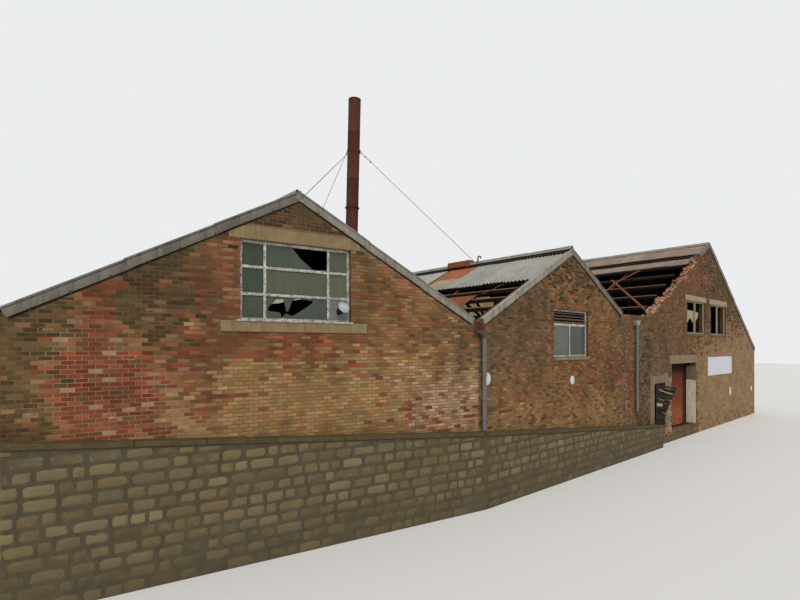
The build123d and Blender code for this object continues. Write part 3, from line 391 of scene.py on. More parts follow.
def colour_bricks(bricks, zones, usual, spread=0.12):
    """Each brick takes a colour at random from a palette. A zone's palette holds where its patch is strong."""
    u, v = bricks[:, :2].mean(1), bricks[:, 2:].mean(1)
    choice = lay.random(len(bricks))

    def pick(palette):
        """One colour of the palette for each brick."""
        return linear(palette)[(lay.random(len(bricks)) * len(palette)).astype(int)]

    colours = pick(usual)
    for palette, weight in zones:
        share = weight(u, v)
        colours = np.where((choice < share)[:, None], pick(palette), colours)
        choice = (choice * 7.31) % 1
    shade = lay.normal(1, spread, (len(bricks), 1)) * (0.86 + 0.28 * waves(u, v, 77, 1.6))[:, None]
    colours = np.clip(colours * shade * lay.normal(1, 0.03, (len(bricks), 3)), 0.002, 0.9)
    return point_tints(colours, 8)


face_brick, place, shader = finish_of("worn_face_brick")
own = place.own_colour()
moss = place.noise(2.6, 6, 0.7).above(0.62, 0.1) * (1.0 - place.axis(2) * 0.14).above(0.45, 0.3)
grain = place.noise(140, 3, 0.75)
pits = place.noise(45, 2, 0.5)
colour = (moss * 0.3).mix(stains(place, own), tone(100, 90, 50))
colour = colour.tint(grain * 0.55 + 0.72)
coat(shader, colour, 0.9, (grain * 0.5 + pits * 0.5).bump(0.004, 0.7), gloss=0.06)

red = [(124, 58, 38), (114, 52, 34), (132, 66, 44), (120, 62, 42), (108, 52, 36), (142, 82, 60)]
russet = [(116, 72, 50), (104, 62, 44), (128, 82, 58), (98, 60, 42), (122, 66, 46), (134, 96, 72)]
brown = [(118, 82, 54), (108, 74, 50), (124, 88, 58), (98, 68, 46), (130, 94, 64), (136, 82, 54), (132, 102, 72)]
olive = [(70, 56, 37), (76, 61, 40), (64, 50, 33), (85, 69, 45), (78, 54, 37), (94, 77, 51)]
buff = [(146, 116, 75), (140, 110, 70), (150, 121, 80), (134, 105, 67), (143, 110, 73), (137, 99, 66)]
grey = [(100, 82, 64), (90, 74, 56), (108, 88, 68), (82, 66, 50), (114, 84, 62), (104, 74, 56)]
washed = [(158, 132, 108), (150, 124, 100), (162, 138, 114), (146, 116, 91), (138, 104, 81), (154, 123, 102)]
tan_brown = [(144, 119, 90), (138, 113, 85), (149, 123, 93), (134, 109, 81), (143, 114, 87)]
sooty = [(62, 50, 38), (55, 44, 33), (70, 57, 42), (80, 55, 41), (66, 48, 37)]

left_length, left_eaves, valley_height = 10.12, 4.95, 5.0
outer_pitch, inner_pitch, under_sheets = 0.5395, 0.5296, 0.058
left_window, left_lintel, left_sill = (3.82, 6.31, 4.88, 6.55), (3.59, 6.54, 6.55, 6.83), (3.42, 6.71, 4.64, 4.88)
left_wall = lay_bricks(
    0.0, left_length, 7.7,
    lambda u: np.minimum(
        left_eaves + (left_length - u) * outer_pitch, valley_height + u * inner_pitch) - under_sheets,
    lambda u: 2.03 + u * 0.0731,
    [left_window, left_lintel, left_sill])
left_tints = colour_bricks(left_wall, [
    (russet, lambda u, v: patch(u, v, 6.1, 8.1, 3.2, 7.2, 0.5, 13) * 0.85),
    (buff, lambda u, v: patch(u, v, -1, 6.8, 1.8, 4.0, 0.6, 3) * 0.97),
    (buff, lambda u, v: patch(u, v, 6.3, 7.9, 1.9, 3.0, 0.6, 14) * 0.75),
    (olive, lambda u, v: patch(u, v, 9.05, 11, 4.15, 5.8, 0.25, 4) * 0.9),
    (olive, lambda u, v: patch(u, v, 9.2, 11, 2.0, 4.4, 0.4, 6) * 0.82),
    (olive, lambda u, v: patch(u, v, 7.2, 8.62, 4.4, 7.0, 0.35, 5) * 0.94),
    (red, lambda u, v: patch(u, v, 8.55, 9.1, 3.6, 5.6, 0.15, 7)),
    (red, lambda u, v: patch(u, v, 8.0, 9.42, 2.2, 4.2, 0.3, 8) * 0.93),
    (red, lambda u, v: patch(u, v, 3.4, 7.4, 4.05, 4.72, 0.3, 9) * 0.62),
    (sooty, lambda u, v: patch(u, v, 2.4, 7.8, 6.6, 8.2, 0.3, 10)),
    (grey, lambda u, v: patch(u, v, -1, 0.9, 3.6, 5.4, 0.5, 11) * 0.6),
    (washed, lambda u, v: patch(u, v, -1, 2.3, 1.9, 3.5, 0.5, 15) * 0.92),
    (red, lambda u, v: patch(u, v, 0.3, 3.2, 2.0, 2.9, 0.5, 12) * 0.22),
], brown, 0.1)
left_tints[:, :3] *= 1.06
hang("left_front_bricks", [brick_parts(left_wall, left_front)], face_brick, tints=left_tints)


def ledge_height(x):
    """Height of the ledge's top at x along the middle front: it falls evenly, by 90 mm a metre."""
    return 2.05 - 0.0901 * x


middle_length, middle_pitch = 10.0, 0.53
parapet_left, parapet_height = 8.75, 5.612
middle_window, gutter_end = (3.83, 6.11, 3.89, 5.58), (-0.2, 0.16, 4.76, 7)
middle_wall = lay_bricks(
    0.0, middle_length, 7.7,
    lambda x: np.where(x > parapet_left, parapet_height, np.minimum(
        valley_height + x * middle_pitch, valley_height + (middle_length - x) * middle_pitch) - under_sheets),
    lambda x: ledge_height(x) - 0.02,
    [middle_window, gutter_end])
middle_tints = colour_bricks(middle_wall, [
    (grey, lambda x, z: patch(x, z, -1, 3.4, 3.6, 6.8, 0.6, 21) * 0.75),
    (russet, lambda x, z: patch(x, z, 5.2, 9.2, 2.6, 4.6, 0.8, 22) * 0.5),
    (buff, lambda x, z: patch(x, z, -1, 10, 1, 2.6, 0.5, 23) * 0.7),
    (brown, lambda x, z: patch(x, z, 8.2, 11, 1, 3.4, 0.5, 24) * 0.6),
    (grey, lambda x, z: patch(x, z, 8.2, 11, 1, 6, 0.5, 24) * 0.5),
    (sooty, lambda x, z: patch(x, z, 3.2, 7, 6.2, 8, 0.4, 25) * 0.5),
], brown)
middle_tints[:, :3] *= 0.95
hang("middle_front_bricks", [brick_parts(middle_wall, long_front)], face_brick, tints=middle_tints)

broken_edge = np.array([
    (10.0, 5.62), (11.25, 5.62), (11.7, -0.160), (12.15, -0.060), (12.6, -0.230), (13.25, -0.120), (13.6, -0.300),
    (14.2, -0.180), (14.7, -0.330), (15.3, -0.210), (15.9, -0.340), (16.5, -0.170), (17.05, -0.260),
    (17.5, -0.090), (17.65, 0.0), (19.2, 0.0), (28.2, 0.0)])
right_end, right_eaves, right_ridge = 28.2, 4.25, 19.2
along = broken_edge[:, 0]
rise = np.where(along <= right_ridge, valley_height + (along - middle_length) * 0.5261,
                right_eaves + (right_end - along) * 0.6211)
broken_edge[2:, 1] += rise[2:] - 0.062
base_length = 12.1
upper_windows = [(15.89, 18.49, 4.89, 6.62), (19.45, 22.05, 4.89, 6.62)]
upper_lintels = [(15.66, 18.72, 6.62, 6.9), (19.22, 22.28, 6.62, 6.9)]
doorway, door_lintel, hatch = (13.9, 17.15, 0.5, 3.55), (13.67, 17.38, 3.55, 3.95), (11.9, 13.1, 1.0, 2.74)
right_wall = lay_bricks(
    middle_length, right_end, 9.8,
    lambda x: np.interp(x, broken_edge[:, 0], broken_edge[:, 1]) - 0.004,
    lambda x: np.where(x < base_length, ledge_height(x) - 0.02, 0.0),
    upper_windows + upper_lintels + [doorway, door_lintel, hatch])
pale = [(158, 138, 118), (148, 126, 106), (164, 146, 124), (152, 122, 102)]
right_tints = colour_bricks(right_wall, [
    (tan_brown, lambda x, z: patch(x, z, 17.3, 29, -1, 4.6, 0.5, 31)),
    (tan_brown, lambda x, z: patch(x, z, 21.0, 29, 4.0, 5.8, 0.9, 30) * 0.8),
    (sooty, lambda x, z: patch(x, z, 18.0, 29, 5.4, 10, 0.5, 32) * 0.45),
    (russet, lambda x, z: patch(x, z, 16.0, 18.4, 6.9, 9.0, 0.6, 33) * 0.6),
    (russet, lambda x, z: patch(x, z, 11.2, 15.8, 5.0, 7.6, 0.5, 34) * 0.4),
    (russet, lambda x, z: patch(x, z, 14.5, 18.8, 3.9, 4.9, 0.4, 35) * 0.45),
    (sooty, lambda x, z: patch(x, z, 9.5, 11.4, 0.5, 5.4, 0.5, 36) * 0.4),
    (russet, lambda x, z: patch(x, z, 17.3, 29, -1, 0.6, 0.4, 37) * 0.25),
    (pale, lambda x, z: patch(x, z, 13.05, 13.95, 0.4, 3.0, 0.25, 38) * 0.85),
    (buff, lambda x, z: patch(x, z, 28.0, 28.5, -1, 4.3, 0.1, 39) * 0.8),
], grey, 0.08)
hang("right_front_bricks", [brick_parts(right_wall, long_front)], face_brick, tints=right_tints)

# The roofs are corrugated cement sheets, about a metre wide and hooked to the purlins. Each sheet
# laps over its neighbour by one corrugation, and over the row below by a hand's breadth.
def weathered(name, base, blotch, streak, fleck, size=1.0, shares=(0.5, 0.4, 0.5), roughness=0.88,
              relief=0.004, metallic=0.0, tinted=False, painted_shade_below=False):
    """A weathered coat: broad blotches, streaks that run down and small flecks on a base colour.

    It may be tinted by the piece's own colours, and be painted near black where it faces down, as painted shade.
    """
    made, place, shader = finish_of(name)
    base, blotch, streak, fleck = (tone(*shade) for shade in (base, blotch, streak, fleck))
    blotches = place.noise(1.7 / size, 6, 0.65).above(0.52, 0.16)
    streaks = place.scaled(5 / size, 5 / size, 0.6 / size).noise(1.4, 6, 0.65).above(0.54, 0.12)
    flecks = place.noise(22 / size, 5, 0.75).above(0.61, 0.06)
    grain = place.noise(130 / size, 3, 0.7)
    colour = (blotches * shares[0]).mix(base, blotch)
    colour = (streaks * shares[1]).mix(colour, streak)
    colour = (flecks * shares[2]).mix(colour, fleck)
    if tinted:
        colour = colour.tint(place.own_colour())
    colour = colour.tint(grain * 0.4 + 0.8)
    if painted_shade_below:
        # Faces that look down are painted near black: painted shade for the dark undersides.
        underside_shade = (place.node("NewGeometry", output=1).axis(2) * -1.0).above(0.3, 0.2)
        colour = (underside_shade * 0.92).mix(colour, tone(26, 22, 18))
    height = grain * 0.5 + flecks * 0.5
    coat(shader, colour, streaks * 0.08 + (roughness - 0.04), height.bump(relief, 0.8), metallic)
    return made


left_ridge, middle_ridge = (-4.986, 7.68), (5.0, 7.65)
slopes = {
    "left_west": (-9.972, left_eaves, *left_ridge), "left_east": (0.0, valley_height, *left_ridge),
    "middle_west": (0.0, valley_height, *middle_ridge), "middle_east": (middle_length, valley_height, *middle_ridge),
    "right_west": (middle_length, valley_height, right_ridge, 9.84),
    "right_east": (right_end, right_eaves, right_ridge, 9.84)}


def pitch_of(slope):
    """Rise of a slope for each metre of x, from its foot to its ridge."""
    foot_x, foot_z, top_x, top_z = slopes[slope]
    return (top_z - foot_z) / (top_x - foot_x)


def roof_height(slope, x, depth=0.0):
    """Height of a slope at x, less a depth measured square to it."""
    foot_x, foot_z = slopes[slope][:2]
    rise = pitch_of(slope)
    return foot_z + (x - foot_x) * rise - depth * np.hypot(1, rise)


def skewed_front(x):
    """How far back the left front lies at x: its distance to the left times the tangent of the skew."""
    return -x * tan(skew)


hook = np.random.default_rng(317)
corrugation, sheet_width, sheet_lap, wave_points = 0.146, 1.022, 0.13, 50
back_edge = 16.03


def lay_sheets(edges, y_from, y_to, ragged=(0.0, 0.02)):
    """One row of low x, high x, near y, far y, lift of the low end and of the whole for every sheet."""
    uphill = np.sign(edges[-1] - edges[0])
    columns = np.arange(int(np.floor(y_from / sheet_width)), int(np.ceil(y_to / sheet_width)))
    rows = np.arange(len(edges) - 1)
    row, column = (a.ravel() for a in np.meshgrid(rows, columns, indexing="ij"))
    edges = np.asarray(edges)
    low = edges[row] + uphill * hook.uniform(ragged[0], ragged[1], len(row))
    high = edges[row + 1] + np.where(row < len(rows) - 1, uphill * sheet_lap, 0)
    near = np.maximum(column * sheet_width, y_from)
    far = np.minimum((column + 1) * sheet_width + sheet_lap, y_to)
    lift = 0.007 * (column % 2) + hook.uniform(0, 0.002, len(row))
    laid = np.stack([low, high, near, far, 0.009 + 0 * low, lift], -1)
    return laid[far - near > 0.15]


def corrugated(slope, laid, front=None):
    """Points and faces of sheets: a sine wave along y, 38 mm deep and 7 mm thick, run up the slope.

    Where a front line is given, the sheets are cut along it.
    """
    share = np.linspace(0, 1, wave_points)
    x = np.stack([laid[:, 0], laid[:, 1]], 1)[:, :, None, None] + np.zeros((1, 1, 2, wave_points))
    y = laid[:, 2, None] + (laid[:, 3] - laid[:, 2])[:, None] * share
    y = np.broadcast_to(y[:, None, None, :], x.shape)
    if front is not None:
        y = np.maximum(y, front(x) + 0.0006 * np.arange(wave_points))
    lift = np.stack([laid[:, 4] + laid[:, 5], laid[:, 5]], 1)[:, :, None, None]
    depth = 0.027 - lift - 0.019 * np.cos(2 * np.pi * y / corrugation)
    depth = depth + np.array([-0.0035, 0.0035])[None, None, :, None]
    points = np.stack([x, y, roof_height(slope, x, depth)], -1)

    k = np.arange(wave_points - 1)

    def at(end, side, place):
        """Number of the point at a place along the wave, on one side and at one end of a sheet."""
        return (end * 2 + side) * wave_points + place + 0 * k

    pattern = np.concatenate([np.stack(quad, -1) for quad in (
        (at(0, 0, k), at(0, 0, k + 1), at(1, 0, k + 1), at(1, 0, k)),
        (at(0, 1, k), at(1, 1, k), at(1, 1, k + 1), at(0, 1, k + 1)),
        (at(0, 0, k + 1), at(0, 0, k), at(0, 1, k), at(0, 1, k + 1)),
        (at(1, 0, k), at(1, 0, k + 1), at(1, 1, k + 1), at(1, 1, k)))]
        + [np.array([[at(0, 0, 0)[0], at(1, 0, 0)[0], at(1, 1, 0)[0], at(0, 1, 0)[0]],
                     [at(1, 0, wave_points - 1)[0], at(0, 0, wave_points - 1)[0], at(0, 1, wave_points - 1)[0],
                      at(1, 1, wave_points - 1)[0]]])])
    if slopes[slope][2] > slopes[slope][0]:
        pattern = pattern[:, ::-1]
    faces = (np.arange(len(laid))[:, None, None] * 4 * wave_points + pattern[None]).reshape(-1, 4)
    return points.reshape(-1, 3), faces


def sheet_tints(laid, marked=()):
    """A slightly different shade for each sheet.

    Sheets whose middle lies in a marked box of x and y take the box's shade.
    """
    shade = hook.normal(1, 0.06, (len(laid), 1)) + hook.normal(0, 0.007, (len(laid), 3))
    x, y = laid[:, :2].mean(1), laid[:, 2:4].mean(1)
    for x_from, x_to, y_from, y_to, own in marked:
        inside = (x > x_from) & (x < x_to) & (y > y_from) & (y < y_to)
        shade = np.where(inside[:, None], np.array(own) * hook.normal(1, 0.04, (len(laid), 1)), shade)
    return point_tints(shade, 4 * wave_points)


cement_sheet = weathered("cement_sheet", (153, 151, 145), (132, 129, 120), (120, 112, 98),
                         (174, 175, 170), 1.0, (0.5, 0.4, 0.3), relief=0.003, tinted=True, painted_shade_below=True)
brown_sheet = weathered("brown_cement_sheet", (142, 128, 115), (120, 104, 90), (104, 82, 64),
                        (160, 148, 136), 1.0, (0.6, 0.5, 0.3), relief=0.003, tinted=True, painted_shade_below=True)
rust, faded = (0.98, 0.37, 0.19), (1.0, 0.86, 0.70)
for name, slope, coats, runs, front, marked in (
    ("left_roof_west", "left_west", cement_sheet,
     [((-10.12, -8.42, -6.72, -4.99), 0.86, back_edge)], skewed_front, ()),
    ("left_roof_east", "left_east", cement_sheet,
     [((-0.13, -1.75, -3.37, -4.98), 0.0, back_edge)], skewed_front, ()),
    ("middle_roof_west", "middle_west", cement_sheet,
     [((2.75, 4.75), 0.0, 3.84, (0.0, 0.14)), ((2.75, 3.72, 4.75), 3.88, 5.36, (0.0, 0.05)),
      ((2.75, 4.75), 5.4, 16.0, (0.0, 0.16))], None,
     ((3.5, 5.0, 3.8, 5.5, rust), (2.0, 3.5, 3.8, 5.05, faded), (2.0, 3.5, 5.05, 5.5, rust))),
    ("middle_roof_east", "middle_east", cement_sheet,
     [((9.87, 8.72), 0.34, back_edge), ((8.75, 7.0), 0.0, 5.0),
      ((8.75, 7.0), 7.28, back_edge), ((7.13, 5.25), 0.0, back_edge)], None,
     ((8.7, 10.0, 9.1, 10.3, rust), (5.0, 8.8, 9.1, 10.3, rust))),
    ("right_roof_west", "right_west", brown_sheet,
     [((17.93, 19.19), 0.0, back_edge, (0.0, 0.04)), ((16.65, 17.4), 0.25, back_edge, (0.0, 0.07))], None, ()),
    ("right_roof_east", "right_east", brown_sheet,
     [((28.35, 26.8, 25.28, 23.76, 22.24, 20.72, 19.21), 0.0, back_edge)], None, ()),
):
    laid = np.concatenate([lay_sheets(*run) for run in runs])
    hang(name + "_sheets", [corrugated(slope, laid, front)], coats,
         [name], sheet_tints(laid, marked), crease=65)

# Rooflights of ribbed glass fibre lie in the east slope of the middle roof, laid like the sheets.
# They glow faintly in their own colour, a painted light for the daylight that comes dimly through
# their moss and dirt.
rooflight, place, shader = finish_of("mossy_rooflight")
moss = place.noise(2.2, 6, 0.7).above(0.5, 0.14)
runs_down = place.scaled(0.5, 6, 0.5).noise(1.2, 6, 0.7).above(0.55, 0.1)
colour = (moss * 0.7).mix(tone(168, 152, 106), tone(128, 116, 66))
colour = (runs_down * 0.5).mix(colour, tone(96, 84, 50))
coat(shader, colour.tint((0.4, 0.4, 0.4, 1)), 0.6, place.noise(90, 3, 0.6).bump(0.002, 0.6), gloss=0.2)
# The glow is painted light, not a lamp: it stands for the daylight passing through the sheets.
shader.inputs["Emission Strength"].default_value = 0.6
shader.id_data.links.new(colour.out, shader.inputs["Emission Color"])
laid = lay_sheets((8.75, 7.0), 5.05, 7.23)
hang("rooflight_sheets", [corrugated("middle_east", laid)], rooflight, ["middle_roof_east"],
     crease=65)

# Ridge caps of the same cement, in lapping lengths of 0.9 m. Two wings lie over the sheets with a
# roll between them. The middle ridge's caps are narrow and stand on a black strip, a painted
# shadow for the dark gap under them.
def sweep(profile, stations, across, up, sizes=None):
    """A closed profile carried along stations: station + size (across x + up y) at each.

    Gives the points, the side faces and the two end faces, all facing outwards.
    """
    profile, stations = np.asarray(profile, float), np.asarray(stations, float)
    count, turns = len(stations), len(profile)
    across = np.broadcast_to(np.asarray(across, float), stations.shape)
    up = np.broadcast_to(np.asarray(up, float), stations.shape)
    sizes = np.ones(count) if sizes is None else np.asarray(sizes, float)
    points = stations[:, None] + sizes[:, None, None] * (profile[None, :, :1] * across[:, None]
                                                         + profile[None, :, 1:] * up[:, None])
    j = np.arange(turns)
    following = (j + 1) % turns
    sides = np.concatenate([np.stack([i * turns + j, i * turns + following, (i + 1) * turns + following,
                                      (i + 1) * turns + j], -1) for i in range(count - 1)])
    ends = np.stack([j[::-1], (count - 1) * turns + j])
    x, y = profile.T
    area = np.sum(x * np.roll(y, -1) - y * np.roll(x, -1))
    if area * (np.cross(across[0], up[0]) @ (stations[-1] - stations[0])) < 0:
        sides, ends = sides[:, ::-1], ends[:, ::-1]
    return points.reshape(-1, 3), sides, ends


def cap_profile(west, east, lift, wing):
    """Wings of one width at their slopes' pitches with a roll of 45 mm radius between, 8 mm thick."""
    pitches = [abs(pitch_of(slope)) for slope in (west, east)]
    wings = np.array([wing, (wing + 0.062) / 2, 0.062])
    turn = np.radians(np.linspace(188, -8, 9))
    upper = np.concatenate([
        np.stack([-wings, -wings * pitches[0] + lift], -1),
        np.stack([0.045 * np.cos(turn), 0.045 * np.sin(turn) + lift + 0.006], -1),
        np.stack([wings[::-1], -wings[::-1] * pitches[1] + lift], -1)])
    lower = upper[::-1].copy()
    lower[:, 1] -= 0.009
    lower[3:12] = np.stack([0.037 * np.cos(turn[::-1]), 0.037 * np.sin(turn[::-1]) + lift + 0.006], -1)
    return np.concatenate([upper, lower])


cap_cement = weathered("ridge_cement", (148, 144, 134), (112, 108, 98), (96, 88, 74),
                       (176, 172, 160), 0.7, (0.6, 0.4, 0.4))
# A near black coat for painted shadows: under the middle ridge's caps and under the verge boards.
painted_shadow_black = weathered("painted_shadow_cement", (30, 27, 23), (22, 20, 17), (48, 42, 34), (58, 52, 44),
                0.6, (0.6, 0.4, 0.3))
cap_parts, ridge_shadow_parts = [], []
cap_length, cap_overlap = 0.9, 0.08
for west, east, y_from, lift, wing in (("left_west", "left_east", 0.93, 0.022, 0.26),
                                       ("middle_west", "middle_east", 0.0, 0.068, 0.125),
                                       ("right_west", "right_east", 0.03, 0.022, 0.18)):
    for start in np.arange(y_from, 15.7, cap_length):
        stations = np.array([(slopes[west][2], start, slopes[west][3] + 0.008),
                             (slopes[west][2], min(start + (cap_length + cap_overlap), back_face), slopes[west][3])])
        stations[:, 0] += hook.uniform(-0.006, 0.006)
        cap_parts.append(sweep(cap_profile(west, east, lift, wing), stations, x_way, z_way))
        # Under the middle caps, a wider black strip is a painted shadow for the gap beneath them.
        if west == "middle_west":
            ridge_shadow_parts.append(sweep(cap_profile(west, east, 0.026, 0.27), stations, x_way, z_way))
hang("ridge_cap_lengths", cap_parts, cap_cement, ["ridge_caps"])
hang("ridge_shadow_strip", ridge_shadow_parts, painted_shadow_black, ["ridge_caps"])

# Verge boards of folded cement run up the gables over the ends of the sheets, in lengths of
# 1.8 m that lap at their joints. Dark iron clips grip their lower edges. Under the boards runs a
# black strip, a painted shadow for the dark line that the boards cast on the wall.
def on_wall(face, along, height, out):
    """A point on a front: its origin + along its length + out of it, at a height."""
    along, height, out = np.broadcast_arrays(*(np.asarray(a, float) for a in (along, height, out)))
    return face[0] + along[..., None] * face[1] + out[..., None] * face[2] + height[..., None] * z_way


def hexahedra(corners):
    """Points and faces of blocks with eight corners each, four below and four above in the same order."""
    corners = np.asarray(corners, float)
    pattern = np.array([[3, 2, 1, 0], [4, 5, 6, 7], [0, 1, 5, 4], [1, 2, 6, 5], [2, 3, 7, 6], [3, 0, 4, 7]])
    faces = np.arange(len(corners))[:, None, None] * 8 + pattern[None]
    x, y, z = (corners[:, i] - corners[:, 0] for i in (1, 3, 4))
    inside_out = np.einsum("ij,ij->i", np.cross(x, y), z) < 0
    faces[inside_out] = faces[inside_out][:, :, ::-1]
    return corners.reshape(-1, 3), faces.reshape(-1, 4)


def boxes(face, rows):
    """Blocks on a front, from rows of left, right, low, high, inner and outer distance."""
    u0, u1, z0, z1, d0, d1 = np.asarray(rows, float).reshape(-1, 6).T
    return hexahedra(np.stack([on_wall(face, u, z, d) for u, z, d in (
        (u0, z0, d0), (u1, z0, d0), (u1, z0, d1), (u0, z0, d1),
        (u0, z1, d0), (u1, z1, d0), (u1, z1, d1), (u0, z1, d1))], 1))


verge_profile = np.array([
    (0.006, -0.166), (0.024, -0.172), (0.031, -0.160), (0.027, -0.036), (0.016, -0.032), (0.016, -0.014),
    (0.037, -0.008), (0.036, 0.014), (0.018, 0.026), (-0.012, 0.030), (-0.04, 0.024), (-0.088, 0.020),
    (-0.088, 0.010), (-0.03, 0.012), (0.006, 0.008)])
verge_length, clip_spacing = 1.8, 0.66
verge_parts, clip_parts, verge_shadow_parts, verge_shades = [], [], [], []
for face, foot, top, shade in (
    (left_front, (left_length, left_eaves), (5.06, 7.68), 0.9), (left_front, (0.162, 5.086), (5.06, 7.68), 1.35),
    (long_front, (0.162, 5.086), (5.0, 7.65), 1.7), (long_front, (8.748, 5.664), (5.0, 7.65), 1.1),
    (long_front, (17.66, 9.030), (19.2, 9.84), 0.95), (long_front, (28.2, 4.25), (19.2, 9.84), 1.1),
):
    start, end = on_wall(face, foot[0], foot[1], 0), on_wall(face, top[0], top[1], 0)
    length = np.linalg.norm(end - start)
    run = (end - start) / length
    square = np.cross(face[2], run)
    square = square * np.sign(square[2])
    count = max(int(round(length / verge_length)), 1)
    joints = np.linspace(0, length, count + 1)
    joints[1:-1] += hook.uniform(-0.1, 0.1, count - 1)
    for i in range(count):
        past = 0.09 if i < count - 1 else 0.03
        places = np.array([joints[i], joints[i] + 0.02, joints[i + 1] - 0.1, joints[i + 1] + past])
        sway = np.array([0.016, 0.016, 0.0, -0.002])[:, None]
        stations = start + places[:, None] * run + sway * face[2] + sway * square * 0.6
        verge_parts.append(sweep(verge_profile, stations, face[2], square))
        verge_shades.append(shade * hook.normal(1, 0.04))
    # A black strip behind the boards' lower edges: painted shadow for the line they cast.
    verge_shadow_parts.append(sweep([(0.0, -0.196), (0.014, -0.196), (0.014, -0.12), (0.0, -0.12)],
                               [start + 0.03 * run, end - 0.05 * run], face[2], square))
    for spot in np.arange(0.35, length - 0.2, clip_spacing):
        grip = start + (spot + hook.uniform(-0.05, 0.05)) * run
        clip_parts.append(sweep(
            [(0.0, -0.200), (0.044, -0.200), (0.044, -0.145), (0.034, -0.142), (0.034, -0.19), (0.0, -0.19)],
            [grip - 0.014 * run, grip + 0.014 * run], face[2], square))
verge_cement = weathered("verge_cement", (120, 116, 106), (98, 94, 84), (70, 65, 55),
                         (142, 139, 130), 0.8, (0.55, 0.5, 0.35), tinted=True)
black_iron = weathered("black_iron", (58, 50, 42), (44, 38, 34), (78, 56, 42), (92, 62, 42),
                       0.3, (0.5, 0.4, 0.4), 0.7)
verge_tints = point_tints(np.outer(verge_shades, np.ones(3)), 4 * len(verge_profile))
hang("verge_board_lengths", verge_parts, verge_cement, ["verge_boards"], verge_tints)
hang("verge_shadow_strip", verge_shadow_parts, painted_shadow_black)
hang("verge_clips", clip_parts, black_iron)

# The base wall is rubble laid in rough courses under a ledge of concrete slabs, which slopes
# down to the right. Each stone is bedded in mortar and bulges a little out of it.
stones = np.random.default_rng(902)
rubble_course, rubble_joint, stone_grid, ledge_reach = 0.235, 0.018, 6, 0.34


def ledge_on_left(u):
    """Height of the ledge's top at u along the left front: it rises evenly, by 73 mm a metre."""
    return 2.05 + u * 0.07312


def lay_rubble(length, top, first):
    """Rows of left, right, low and high for rough stones up to a sloping top, with joints between."""
    rows = int(3.0 / rubble_course)
    lengths = stones.uniform(0.22, 0.62, (rows, int(length / 0.3)))
    ends = np.cumsum(lengths, 1) + first
    left, right = ends[:, :-1].ravel(), ends[:, 1:].ravel() - rubble_joint
    low = np.repeat(np.arange(rows) * rubble_course, ends.shape[1] - 1)
    high = low + rubble_course - rubble_joint + stones.uniform(-0.02, 0.0, len(low))
    low = low + stones.uniform(0.0, 0.014, len(low))
    left, right = np.maximum(left, 0.0), np.minimum(right, length)
    limit = top((left + right) / 2) - 0.115
    high = np.minimum(high, limit)
    keep = (right - left > 0.08) & (high - low > 0.06)
    return np.stack([left, right, low, high], -1)[keep]


def rubble_parts(face, laid, out):
    """Each stone is a small square grid, with its corners drawn in and lumps at random.

    It stands out by a flat dome: 1 less the ninth power of the share across, times the same upwards.
    """
    g = np.linspace(-1, 1, stone_grid)
    gu, gv = np.meshgrid(g, g, indexing="ij")
    corner = 1 - 0.05 * np.minimum(gu ** 2, gv ** 2) * (gu ** 2 + gv ** 2)
    centre_u, half_u = laid[:, :2].mean(1), (laid[:, 1] - laid[:, 0]) / 2
    centre_v, half_v = laid[:, 2:].mean(1), (laid[:, 3] - laid[:, 2]) / 2
    jitter = stones.uniform(-0.006, 0.006, (2, len(laid), stone_grid, stone_grid))
    u = centre_u[:, None, None] + half_u[:, None, None] * gu * corner + jitter[0]
    v = centre_v[:, None, None] + half_v[:, None, None] * gv * corner + jitter[1]
    dome = (1 - np.abs(gu) ** 9) * (1 - np.abs(gv) ** 9)
    bulge = stones.uniform(0.010, 0.022, (len(laid), 1, 1))
    stand = out - 0.006 + dome * (bulge + stones.uniform(-0.004, 0.004, u.shape))
    points = on_wall(face, u, np.maximum(v, 0.002), stand)
    i = np.arange(stone_grid ** 2).reshape(stone_grid, stone_grid)
    pattern = np.stack([i[:-1, :-1], i[1:, :-1], i[1:, 1:], i[:-1, 1:]], -1).reshape(-1, 4)
    if mirrored(face):
        pattern = pattern[:, ::-1]
    faces = (np.arange(len(laid))[:, None, None] * stone_grid ** 2 + pattern[None]).reshape(-1, 4)
    return points.reshape(-1, 3), faces


base_end = (base_length * x_way, long_front[2], x_way)
base_out = 0.3
rubble_runs = [(left_front, lay_rubble(left_length, ledge_on_left, -0.3), base_out),
               (long_front, lay_rubble(base_length, ledge_height, -0.45), base_out),
               (base_end, lay_rubble(base_out, lambda y: 0.96 + 0 * y, -0.2), 0.0)]
stone_colours = linear([(108, 94, 68), (100, 88, 65), (116, 102, 76), (104, 88, 62), (94, 84, 64)])
stone_tints = []
for _, laid, _ in rubble_runs:
    shade = stone_colours[stones.integers(0, len(stone_colours), len(laid))] * stones.normal(1, 0.08, (len(laid), 1))
    stone_tints.append(point_tints(shade, stone_grid ** 2))
rubble_stone, place, shader = finish_of("rubble_stone")
own = place.own_colour()
lichen = place.noise(3.2, 7, 0.7).above(0.56, 0.1)
damp = (place.axis(2) * -0.5 + 1.0).above(0.62, 0.25)
grain = place.noise(38, 6, 0.75)
colour = (lichen * 0.45).mix(own, tone(120, 116, 84))
colour = (damp * 0.4).mix(colour, tone(66, 60, 44)).tint(grain * 0.6 + 0.68)
coat(shader, colour, 0.93, grain.bump(0.012, 0.9))
hang("base_wall_stones", [rubble_parts(face, laid, out) for face, laid, out in rubble_runs],
     rubble_stone, tints=np.concatenate(stone_tints))
bedding = weathered("bedding_mortar", (86, 77, 60), (70, 62, 48), (60, 53, 41), (108, 98, 79),
                    0.8, (0.5, 0.4, 0.4), relief=0.012)
recoat(["base_wall"], bedding)

